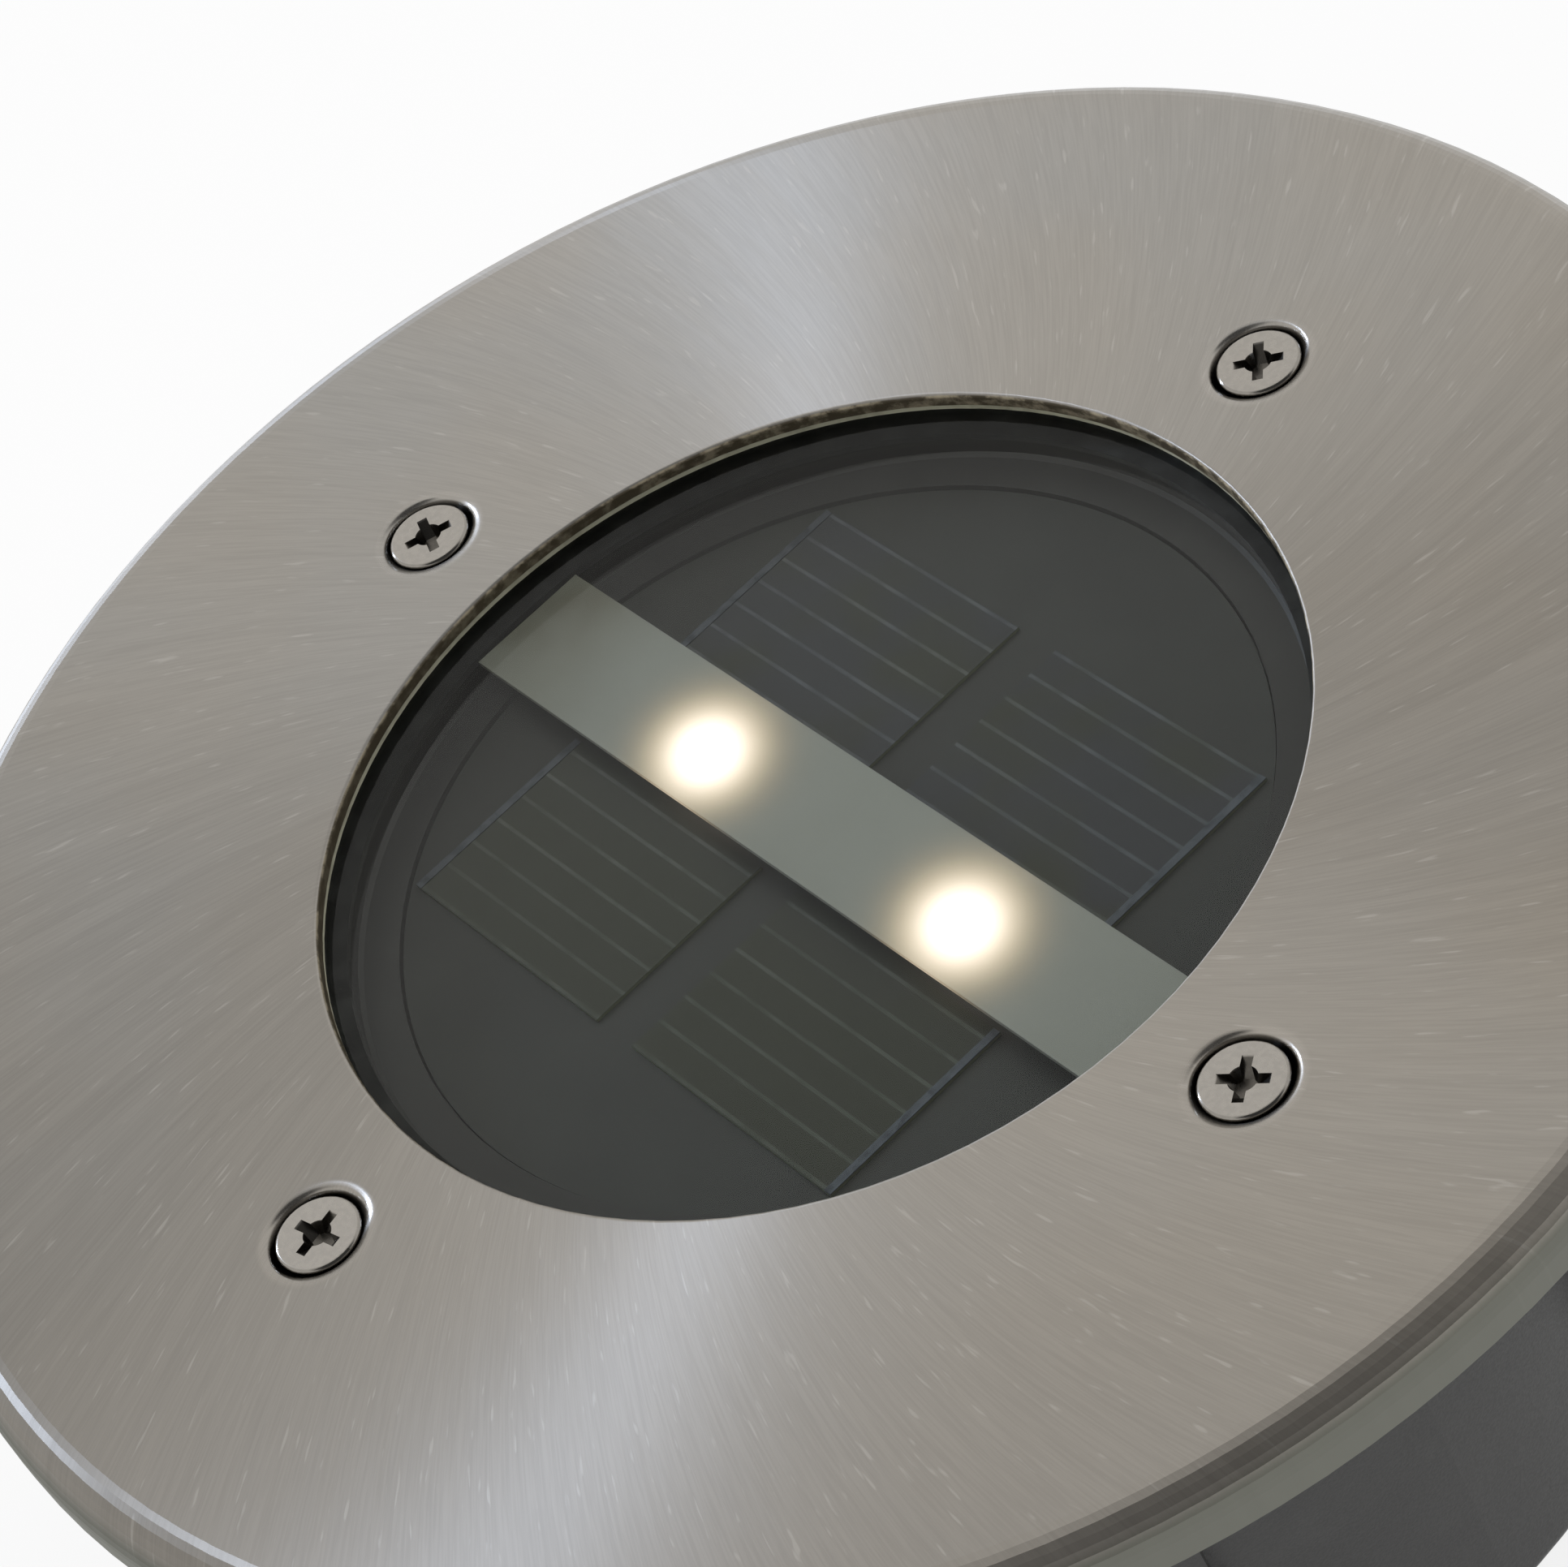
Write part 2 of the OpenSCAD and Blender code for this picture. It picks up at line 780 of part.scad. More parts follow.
module controller_chip() {
    legs_a_side = 4;
    color([0.1, 0.1, 0.1])
        under_board(chip_at) {
            translate([-chip_l / 2, -chip_w / 2, chip_lift])
                cube([chip_l, chip_w, chip_h]);
            for (i = [0 : legs_a_side - 1], turn = [0, 180])
                rotate([0, 0, turn])
                    translate([(i - (legs_a_side - 1) / 2) * chip_leg_pitch, 0, 0])
                        chip_leg();
        }
}

module storage_capacitor() {
    r = capacitor_r;
    g = capacitor_groove;
    z = capacitor_groove_z;
    color([0.2, 0.22, 0.4])
        under_board(capacitor_at)
            rotate_extrude()
                polygon([
                    [0, 0], [r, 0], [r, z], [r - g, z + g], [r - g, z + 2 * g], [r, z + 3 * g],
                    [r, capacitor_h - g], [r - g, capacitor_h], [0, capacitor_h]
                ]);
}

module cup_outline() {
    polygon(concat(
        [[0, foot_h], [foot_in_r, foot_h], [foot_in_r, 0]],
        arc([cup_bottom_r - foot_edge_r, foot_edge_r], foot_edge_r, -90, 0),
        [
            [cup_top_r, collar_low - shoulder], [collar_r, collar_low],
            [collar_r, flange_under], [collar_r + collar_step, flange_under],
            [collar_r + collar_step, flange_skin_under], [flange_r - flange_rim_w, flange_skin_under],
            [flange_r - flange_rim_w, flange_under], [flange_r, flange_under]
        ],
        arc([flange_r - plate_edge_r, flange_top - plate_edge_r], plate_edge_r, 0, 90),
        [
            [frame_r + fit, flange_top], [frame_r + fit, frame_under],
            [cup_top_r - wall, frame_under], [cup_bottom_r - wall, floor_top], [0, floor_top]
        ]
    ));
}

// Straight guide fins that fill the draft of the cup up to just inside the collar
module cup_fins() {
    low_r = cup_bottom_r - wall / 2;
    high_r = cup_top_r - wall / 2;
    edge_r = collar_r - fin_inset;
    around(fins, 0, fin_start)
        rotate([90, 0, 0])
            linear_extrude(fin_t, center = true)
                polygon([
                    [low_r, fin_low], [edge_r, fin_low + edge_r - low_r],
                    [edge_r, collar_low], [high_r, collar_low]
                ]);
}

module flange_underside_ribs() {
    around(flange_ribs, collar_r - root, 180 / flange_ribs)
        translate([0, -rib_t / 2, flange_under])
            cube([flange_r - flange_rim_w - collar_r + 2 * root, rib_t, flange_h - flange_t + root]);
}

// Screw columns from the floor to the frame's ledge, cut off inside the drafted wall
module screw_columns() {
    intersection() {
        around(screw_count, screw_ring_r)
            translate([0, 0, foot_h + root])
                cylinder(h = frame_under - foot_h - root, r = column_d / 2);
        translate([0, 0, foot_h])
            cylinder(h = frame_under - foot_h, r1 = cup_bottom_r - wall / 2, r2 = cup_top_r - wall / 2);
    }
}

module tub_shape(r) {
    translate([0, battery_z])
        circle(r);
    translate([-r, foot_h + root])
        square([2 * r, battery_z - foot_h - root]);
}

module battery_tub_walls() {
    translate([0, 0, foot_h + root])
        linear_extrude(pad_top - foot_h - root)
            rounded_rect(cover_l + 2 * pad_margin, cover_w + 2 * pad_margin, cover_corner_r + pad_margin);
    along_x(tub_l + 2 * tub_wall)
        tub_shape(tub_r + tub_wall);
    for (x = [-cover_screw_x, cover_screw_x])
        translate([x, 0, foot_h + root])
            cylinder(h = cover_screw_top + cover_boss_over - foot_h - root, r = cover_boss_d / 2);
}

module battery_tub_cuts() {
    translate([0, 0, foot_h - over])
        linear_extrude(cover_seat_z - foot_h + over)
            rounded_rect(cover_l + 2 * fit, cover_w + 2 * fit, cover_corner_r + fit);
    along_x(tub_l)
        tub_shape(tub_r);
    for (x = [-cover_screw_x, cover_screw_x])
        translate([x, 0, foot_h])
            cylinder(h = cover_screw_top + cover_screw_gap - foot_h, r = cover_screw_d / 2 + slip);
    translate([-tub_l / 2 - tub_wall - over, -tab_w / 2 - slip, tab_z - slip])
        cube([tub_l + 2 * tub_wall + 2 * over, tab_w + 2 * slip, contact_t + 2 * slip]);
}

module switch_well() {
    translate([0, switch_y, foot_h + root])
        cylinder(h = well_ceiling + switch_wall_t - foot_h - root, r = switch_well_r + tub_wall);
}

module switch_well_cuts() {
    translate([0, switch_y, foot_h - over])
        cylinder(h = switch_well_h + over, r = switch_well_r);
    translate([0, switch_y, foot_h])
        cylinder(h = switch_well_h + switch_wall_t + over, r = bushing_r + slip);
}

module housing_cup() {
    color([0.1, 0.1, 0.1])
        difference() {
            union() {
                rotate_extrude()
                    cup_outline();
                cup_fins();
                flange_underside_ribs();
                screw_columns();
                battery_tub_walls();
                switch_well();
            }
            around(screw_count, screw_ring_r)
                translate([0, 0, frame_under - insert_l])
                    cylinder(h = insert_l + over, r = insert_r + press);
            around(screw_count, screw_ring_r)
                translate([0, 0, plate_top - screw_l - insert_gap])
                    cylinder(h = screw_l, r = screw_d / 2 + slip);
            battery_tub_cuts();
            switch_well_cuts();
        }
}

module screw_inserts() {
    color([0.8, 0.62, 0.25])
        around(screw_count, screw_ring_r)
            translate([0, 0, frame_under - insert_l])
                rotate_extrude()
                    polygon([
                        [screw_d / 2 + press, 0], [insert_r, 0], [insert_r, insert_band],
                        [insert_r - insert_groove, insert_band],
                        [insert_r - insert_groove, insert_l - insert_band],
                        [insert_r, insert_l - insert_band], [insert_r, insert_l],
                        [screw_d / 2 + press, insert_l]
                    ]);
}

module battery_cell() {
    shoulder_x = battery_l - terminal_h;
    color([0.2, 0.5, 0.3])
        translate([battery_start_x, 0, battery_z])
            rotate([0, 90, 0])
                rotate_extrude()
                    polygon(concat(
                        [[0, 0]],
                        arc([battery_r - battery_round, battery_round], battery_round, -90, 0),
                        arc([battery_r - battery_round, shoulder_x - battery_round], battery_round, 0, 90),
                        [
                            [terminal_d / 2, shoulder_x],
                            [terminal_d / 2, battery_l], [0, battery_l]
                        ]
                    ));
}

module battery_spring() {
    reach = battery_start_x + tub_l / 2 - contact_t;
    color([0.8, 0.8, 0.8])
        translate([contact_t - tub_l / 2, 0, battery_z])
            rotate([0, 90, 0])
                tube(
                    coil_route(
                        spring_turns, spring_big_r, spring_small_r,
                        spring_wire_r + press, reach - spring_wire_r - press
                    ),
                    spring_wire_r, wire_sides, [0, 0, 1]
                );
}

// Contact plate against the tub's end wall, with a tab through the wall; side is -1 or 1
module contact_plate(side) {
    color([0.8, 0.8, 0.8])
        rotate([0, 0, side < 0 ? 180 : 0]) {
            translate([tub_l / 2 - contact_t, -contact_w / 2, battery_z - contact_h / 2])
                cube([contact_t, contact_w, contact_h]);
            translate([tub_l / 2 - contact_t, -tab_w / 2, tab_z])
                cube([contact_t + tub_wall + tab_out, tab_w, contact_t]);
        }
}

module battery_cover() {
    lip_l = tub_l - 2 * fit;
    lip_w = 2 * (tub_r - fit);
    color([0.1, 0.1, 0.1])
        difference() {
            union() {
                translate([0, 0, foot_h])
                    linear_extrude(cover_t)
                        rounded_rect(cover_l, cover_w, cover_corner_r);
                translate([0, 0, cover_top - root])
                    linear_extrude(root + cover_seal_t + lip_over)
                        difference() {
                            square([lip_l, lip_w], center = true);
                            square([lip_l - 2 * lip_t, lip_w - 2 * lip_t], center = true);
                        }
                for (x = [-cradle_x, cradle_x])
                    translate([x - cradle_t / 2, -lip_w / 2, cover_top - root])
                        cube([cradle_t, lip_w, battery_z - battery_r + cradle_h - cover_top + root]);
            }
            along_x(battery_l)
                translate([0, battery_z])
                    circle(battery_r + slip);
            for (x = [-cover_screw_x, cover_screw_x]) {
                translate([x, 0, foot_h - over])
                    cylinder(h = cover_t + 2 * over, r = cover_screw_d / 2 + slip);
                translate([x, 0, foot_h - over])
                    cylinder(h = cover_screw_seat - foot_h + over, r = cover_screw_head_d / 2 + fit);
            }
        }
}

module battery_cover_seal() {
    inner_l = tub_l + 2 * slip;
    inner_w = 2 * (tub_r + slip);
    color([0.5, 0.5, 0.5])
        translate([0, 0, cover_top])
            linear_extrude(cover_seal_t)
                difference() {
                    rounded_rect(inner_l + 2 * cover_seal_w, inner_w + 2 * cover_seal_w, cover_seal_w);
                    square([inner_l, inner_w], center = true);
                }
}

module battery_cover_screws() {
    color([0.75, 0.75, 0.75])
        for (x = [-cover_screw_x, cover_screw_x])
            translate([x, 0, cover_screw_seat])
                mirror([0, 0, 1])
                    round_screw(
                        cover_screw_d, cover_screw_head_d, cover_screw_head_h, cover_screw_gap, cover_screw_l,
                        cover_screw_head_d * small_cross_share, small_cross_w, cover_screw_head_h / 2
                    );
}

module switch_body() {
    bushing_top = switch_flange_top + bushing_l;
    tail_top = bushing_top + switch_tail_l;
    color([0.15, 0.15, 0.15])
        translate([0, switch_y, 0])
            difference() {
                union() {
                    rotate_extrude()
                        polygon(concat(
                            [[0, switch_face]],
                            arc([switch_flange_r - root, switch_face + root], root, -90, 0),
                            [
                                [switch_flange_r, switch_flange_top], [bushing_r, switch_flange_top],
                                [bushing_r, bushing_top], [switch_tail_r, bushing_top],
                                [switch_tail_r, tail_top], [0, tail_top]
                            ]
                        ));
                    for (x = [-terminal_x, terminal_x])
                        translate([x - terminal_t / 2, -terminal_w / 2, tail_top - root])
                            cube([terminal_t, terminal_w, terminal_l + root]);
                }
                translate([0, 0, switch_face - over])
                    cylinder(h = bore_top - switch_face + over, r = button_r + slip);
            }
}

module switch_button() {
    color([0.35, 0.35, 0.35])
        translate([0, switch_y, 0])
            rotate_extrude()
                polygon(concat(
                    [[0, button_low]],
                    arc([button_r - button_round, button_low + button_round], button_round, -90, 0),
                    [
                        [button_r, button_top], [button_pin_r, button_top],
                        [button_pin_r, button_top + button_pin_h], [0, button_top + button_pin_h]
                    ]
                ));
}

module button_spring() {
    color([0.8, 0.8, 0.8])
        translate([0, switch_y, 0])
            tube(
                coil_route(
                    button_spring_turns, button_spring_r, button_spring_r,
                    button_top + button_wire_r + press, bore_top - button_wire_r - press
                ),
                button_wire_r, wire_sides, [0, 0, 1]
            );
}

module switch_seal() {
    color([0.1, 0.1, 0.1])
        translate([0, switch_y, 0])
            ring(bushing_r + press, switch_flange_r - press, switch_flange_top, well_ceiling);
}

module switch_nut() {
    low = well_ceiling + switch_wall_t;
    color([0.7, 0.7, 0.7])
        translate([0, switch_y, low])
            difference() {
                cylinder(h = nut_t, r = nut_r, $fn = 6);
                translate([0, 0, -over])
                    cylinder(h = nut_t + 2 * over, r = bushing_r + press);
            }
}

// Lead from the control board up to the solar board; side is -1 or 1
module panel_lead(side) {
    tube(
        lead_route(
            [side * panel_lead_x, panel_lead_y, control_top],
            [side * (panel_lead_x + panel_lead_shift), panel_lead_y, board_under]
        ),
        lead_d / 2, lead_sides, [0, 1, 0], upright = true
    );
}

// Lead from a contact's tab up to the control board; side is -1 or 1
module battery_lead(side) {
    tube(
        lead_route(
            [side * (tub_l / 2 + tub_wall + tab_out / 2), 0, tab_z + contact_t],
            [side * battery_lead_x, 0, control_under]
        ),
        lead_d / 2, lead_sides, [0, 1, 0], upright = true
    );
}

// Lead from a switch terminal up to the control board; side is -1 or 1
module switch_lead(side) {
    terminal_top = switch_flange_top + bushing_l + switch_tail_l + terminal_l;
    tube(
        lead_route(
            [side * terminal_x, switch_y, terminal_top],
            [side * switch_lead_x, switch_lead_y, control_under]
        ),
        lead_d / 2, lead_sides, [1, 0, 0], upright = true
    );
}

face_plate();
face_screws();
window_gasket();
window_glass();
light_strip();
glass_seal();
panel_frame();
frame_seal();
solar_board();
solar_cell(-1, 1);  // solar_cell_1
solar_cell(1, 1);  // solar_cell_2
solar_cell(-1, -1);  // solar_cell_3
solar_cell(1, -1);  // solar_cell_4
cell_busbars();
led(-1);  // led_1
led(1);  // led_2
control_board();
board_screws();
power_inductor();
controller_chip();
storage_capacitor();
housing_cup();
screw_inserts();
battery_cell();
battery_spring();
contact_plate(-1);  // spring_plate
contact_plate(1);  // battery_contact
battery_cover();
battery_cover_seal();
battery_cover_screws();
switch_body();
switch_button();
button_spring();
switch_seal();
switch_nut();
color([0.7, 0.1, 0.1]) panel_lead(1);  // panel_lead_positive
color([0.05, 0.05, 0.05]) panel_lead(-1);  // panel_lead_negative
color([0.7, 0.1, 0.1]) battery_lead(1);  // battery_lead_positive
color([0.05, 0.05, 0.05]) battery_lead(-1);  // battery_lead_negative
color([0.7, 0.1, 0.1]) switch_lead(-1);  // switch_lead_1
color([0.05, 0.05, 0.05]) switch_lead(1);  // switch_lead_2
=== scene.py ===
import math

import bpy
from mathutils import Matrix, Quaternion, Vector


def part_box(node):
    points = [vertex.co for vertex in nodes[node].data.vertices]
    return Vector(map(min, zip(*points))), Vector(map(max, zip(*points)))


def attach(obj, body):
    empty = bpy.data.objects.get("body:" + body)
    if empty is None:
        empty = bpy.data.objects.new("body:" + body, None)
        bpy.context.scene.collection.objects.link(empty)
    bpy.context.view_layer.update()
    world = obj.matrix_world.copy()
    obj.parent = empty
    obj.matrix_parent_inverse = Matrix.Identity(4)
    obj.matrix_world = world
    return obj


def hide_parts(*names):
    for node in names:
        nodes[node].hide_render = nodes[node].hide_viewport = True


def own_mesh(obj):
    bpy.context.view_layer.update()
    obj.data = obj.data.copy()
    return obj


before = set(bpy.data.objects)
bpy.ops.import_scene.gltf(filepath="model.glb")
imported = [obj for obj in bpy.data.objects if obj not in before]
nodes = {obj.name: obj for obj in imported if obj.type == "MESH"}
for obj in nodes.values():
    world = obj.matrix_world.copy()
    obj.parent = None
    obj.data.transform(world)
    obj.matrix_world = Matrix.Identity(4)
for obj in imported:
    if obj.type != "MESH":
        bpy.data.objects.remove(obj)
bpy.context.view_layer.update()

mm = 0.001
print("frame loaded:", len(nodes), "nodes")


def topOf(name):
    # Height of a node's highest point in millimetres
    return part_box(name)[1][2] / mm


def below(height, drops):
    return [height - drop for drop in drops]


def scaled(factor, values):
    return tuple(factor * value for value in values)


# Shader maths: a signal is a node's output, and its operators add Math nodes

class Signal:
    def __init__(self, finish, socket):
        self.finish = finish
        self.socket = socket

    def __add__(self, other):
        return self.finish.math("ADD", self, other)

    def __sub__(self, other):
        return self.finish.math("SUBTRACT", self, other)

    def __rsub__(self, other):
        return self.finish.math("SUBTRACT", other, self)

    def __mul__(self, other):
        return self.finish.math("MULTIPLY", self, other)

    def __truediv__(self, other):
        return self.finish.math("DIVIDE", self, other)

    def __pow__(self, other):
        return self.finish.math("POWER", self, other)


# A finish is one material or world. A noise is given by its scale, detail and roughness, and
# most of its values lie in noiseSpan

noiseSpan = (0.3, 0.7)


class Finish:
    def __init__(self, name, owner=None):
        self.owner = owner or bpy.data.materials.new(name)
        self.owner.use_nodes = True
        self.tree = self.owner.node_tree
        self.tree.nodes.clear()

    def node(self, kind, settings=None, inputs=None, output=0):
        made = self.tree.nodes.new(kind)
        for key, value in (settings or {}).items():
            setattr(made, key, value)
        for key, value in (inputs or {}).items():
            if isinstance(value, Signal):
                self.tree.links.new(value.socket, made.inputs[key])
            elif isinstance(value, tuple) and len(value) == 3 and made.inputs[key].type == "RGBA":
                made.inputs[key].default_value = (*value, 1)
            else:
                made.inputs[key].default_value = value
        return Signal(self, made.outputs[output]) if len(made.outputs) else None

    def place(self):
        # Object coordinates in millimetres
        at = self.node("ShaderNodeTexCoord", output="Object")
        return self.node("ShaderNodeVectorMath", {"operation": "SCALE"}, {0: at, "Scale": 1 / mm})

    def split(self, vector):
        outputs = self.node("ShaderNodeSeparateXYZ", None, {0: vector}).socket.node.outputs
        return [Signal(self, outputs[i]) for i in range(3)]

    def join(self, x, y, z):
        return self.node("ShaderNodeCombineXYZ", None, {0: x, 1: y, 2: z})

    def toScrews(self, x, y, ring):
        # Distance to the nearest of the four face screws, which stand on the X and Y axes
        across, along = self.math("ABSOLUTE", x), self.math("ABSOLUTE", y)
        out = self.math("MAXIMUM", across, along) - ring
        aside = self.math("MINIMUM", across, along)
        return (out * out + aside * aside) ** 0.5

    def math(self, operation, first, second=None):
        inputs = {0: first} if second is None else {0: first, 1: second}
        return self.node("ShaderNodeMath", {"operation": operation}, inputs)

    def noise(self, vector, scale, detail, rough):
        return self.node("ShaderNodeTexNoise", None,
                         {"Vector": vector, "Scale": scale, "Detail": detail, "Roughness": rough})

    def smooth(self, value, low, high, start=0.0, end=1.0):
        return self.node("ShaderNodeMapRange", {"interpolation_type": "SMOOTHSTEP"},
                         {0: value, 1: low, 2: high, 3: start, 4: end})

    def mix(self, factor, first, second):
        return self.node("ShaderNodeMix", {"data_type": "RGBA"}, {0: factor, 6: first, 7: second}, 2)

    def bump(self, height, depth):
        return self.node("ShaderNodeBump", None, {"Distance": depth * mm, "Height": height})

    def surface(self, **inputs):
        names = {key.replace("_", " "): value for key, value in inputs.items()}
        shader = self.node("ShaderNodeBsdfPrincipled", None, names)
        self.node("ShaderNodeOutputMaterial", None, {0: shader})
        return self.owner


def dress(material, *names):
    for name in names:
        slots = nodes[name].data.materials
        if len(slots):
            for index in range(len(slots)):
                slots[index] = material
        else:
            slots.append(material)


# The camera comes from a fit to the photo's circles

cameraLook = {
    "lens": 123.66,
    "sensor": 36,
    "nearest": 0.01,
    "place": (0.23368, -0.08445, 0.29444),
    "right": (0.60970, 0.71186, -0.34862),
    "down": (0.40858, -0.65914, -0.63135),
    "forward": (-0.67921, 0.24249, -0.69272),
}


def makeCamera(look):
    data = bpy.data.cameras.new("camera")
    data.lens = look["lens"]
    data.sensor_width = look["sensor"]
    data.clip_start = look["nearest"]
    camera = bpy.data.objects.new("camera", data)
    bpy.context.scene.collection.objects.link(camera)
    right, down, forward = (Vector(look[key]).normalized() for key in ("right", "down", "forward"))
    turn = Matrix((right, -down, -forward)).transposed().to_4x4()
    camera.matrix_world = Matrix.Translation(look["place"]) @ turn
    bpy.context.scene.camera = camera


makeCamera(cameraLook)
print("camera placed")


def heading(bearing, height):
    a, e = math.radians(bearing), math.radians(height)
    return Vector((math.cos(a) * math.cos(e), math.sin(a) * math.cos(e), math.sin(e)))


# A pale room with a dark patch over the camera's shoulder, a long window behind the light and
# soft light from above. Bearings, heights and rolls are in degrees, distances in metres

studioLook = {
    "target": (0, 0, 0.05),
    "room": (0.88, 0.86, 0.83),
    "shade": (0.08, 0.08, 0.08),
    "shadeBearing": -8,
    "shadeHeight": 52,
    "shadeCore": 32,
    "shadeEdge": 52,
    "floorSize": 8,
    "floorColour": (0.92, 0.92, 0.92),
    "floorWhite": 0.85,
    "lamps": {
        "backWindow": {"bearing": 198, "height": 22, "distance": 3.0, "size": (0.9, 0.17), "roll": -64,
                       "colour": (0.65, 0.77, 1.0), "radiance": 52, "glossy": True},
        "topSoft": {"bearing": 60, "height": 75, "distance": 1.2, "size": (0.9, 0.9), "roll": 0,
                    "colour": (1.0, 0.99, 0.97), "radiance": 2.0, "glossy": False},
    },
}


def makeLamp(name, look, target):
    data = bpy.data.lights.new(name, "AREA")
    data.shape = "RECTANGLE"
    data.size, data.size_y = look["size"]
    data.color = look["colour"]
    data.energy = look["radiance"] * math.pi * data.size * data.size_y
    lamp = bpy.data.objects.new(name, data)
    bpy.context.scene.collection.objects.link(lamp)
    away = heading(look["bearing"], look["height"])
    lamp.location = Vector(target) + away * look["distance"]
    lamp.rotation_mode = "QUATERNION"
    roll = Quaternion((0, 0, 1), math.radians(look["roll"]))
    lamp.rotation_quaternion = away.to_track_quat("Z", "Y") @ roll
    lamp.visible_camera = False
    lamp.visible_glossy = look["glossy"]


def makeWorld(look):
    world = bpy.data.worlds.new("studio")
    bpy.context.scene.world = world
    room = Finish("room", world)
    way = room.node("ShaderNodeTexCoord", output="Generated")
    shadeWay = tuple(heading(look["shadeBearing"], look["shadeHeight"]))
    along = room.node("ShaderNodeVectorMath", {"operation": "DOT_PRODUCT"}, {0: way, 1: shadeWay}, "Value")
    edge, core = (math.cos(math.radians(look[key])) for key in ("shadeEdge", "shadeCore"))
    colour = room.mix(room.smooth(along, edge, core), look["room"], look["shade"])
    light = room.node("ShaderNodeBackground", None, {"Color": colour, "Strength": 1.0})
    room.node("ShaderNodeOutputWorld", None, {0: light})


def makeFloor(look):
    bpy.ops.object.select_all(action="DESELECT")
    bpy.ops.mesh.primitive_plane_add(size=look["floorSize"], location=(0, 0, 0))
    floor = bpy.context.object
    floor.name = "studioFloor"
    paper = Finish("studioPaper")
    outputs = paper.node("ShaderNodeLightPath").socket.node.outputs
    seen = sum((Signal(paper, outputs[name]) for name in ("Is Glossy Ray", "Is Transmission Ray")),
               Signal(paper, outputs["Is Camera Ray"]))
    lit = paper.node("ShaderNodeBsdfDiffuse", None, {"Color": look["floorColour"]})
    white = paper.node("ShaderNodeEmission", None, {"Color": (1.0, 1.0, 1.0), "Strength": 1.0})
    shown = paper.node("ShaderNodeMixShader", None, {0: seen * look["floorWhite"], 1: lit, 2: white})
    paper.node("ShaderNodeOutputMaterial", None, {0: shown})
    floor.data.materials.append(paper.owner)


bpy.context.scene.view_settings.view_transform = "Standard"
makeWorld(studioLook)
makeFloor(studioLook)
for name, look in studioLook["lamps"].items():
    makeLamp(name, look, studioLook["target"])
print("studio lit")


# Radii, heights and depths are in millimetres. A range is two values between which a tone runs

plateLook = {
    "cool": (0.398, 0.388, 0.370),
    "warm": (0.410, 0.378, 0.334),
    "warmReflectionRange": (-20, 50),
    "patchNoise": (0.035, 2, 0.5),
    "patchRange": (0.35, 0.65),
    "patchShare": 0.4,
    "paintedShadeColour": (0.330, 0.313, 0.287),
    "paintedShadeWay": (0.5, 0.87),
    "paintedShadeRange": (10, 60),
    "skirt": (0.172, 0.174, 0.150),
    "skirtDrops": (0.6, 1.8),
    "turn": 25,
    "anisotropy": 0.9,
    "roughness": (0.375, 0.405),
    "swirl": 0.46,
    "midRadius": 50,
    "strokeDepth": 0.006,
    "fine": {"stretch": 0.035, "noise": (5.5, 3, 0.62), "height": 0.5},
    "broad": {"stretch": 0.05, "noise": (0.9, 2, 0.5), "height": 0.15},
    "dash": {"stretch": 0.16, "noise": (2.6, 1, 0.4), "height": 0.2},
    "grain": (0.955, 1.045),
    "dashRange": (0.67, 0.77),
    "dashGlintColour": (0.80, 0.79, 0.77),
    "dashGlintMix": 0.13,
    "dashGloss": 0.04,
    "screwRing": 42.35,
    "dishRadius": 4.25,
    "dishWidth": 1.04,
    "dishDepth": 0.35,
    "dishRange": (4.20, 3.75),
    "dishGloss": 0.14,
    "grooveRange": (3.42, 3.26),
    "grooveShade": (0.02, 0.02, 0.018),
    "grooveShadeMix": 0.35,
    "cut": (0.085, 0.070, 0.045),
    "cutLight": (0.50, 0.44, 0.32),
    "cutRange": (34.02, 33.92),
    "cutDull": 0.1,
    "cutBare": 0.7,
    "tickStretch": 2.2,
    "tickNoise": (0.55, 4, 0.6),
    "tickRange": (0.42, 0.68),
    "tickShadeSides": (-20, 30, 0.15, 0.6),
    "burrDrops": (0.4, 0.15),
    "burrRange": (0.42, 0.58),
    "burrHighlightMix": 0.4,
}


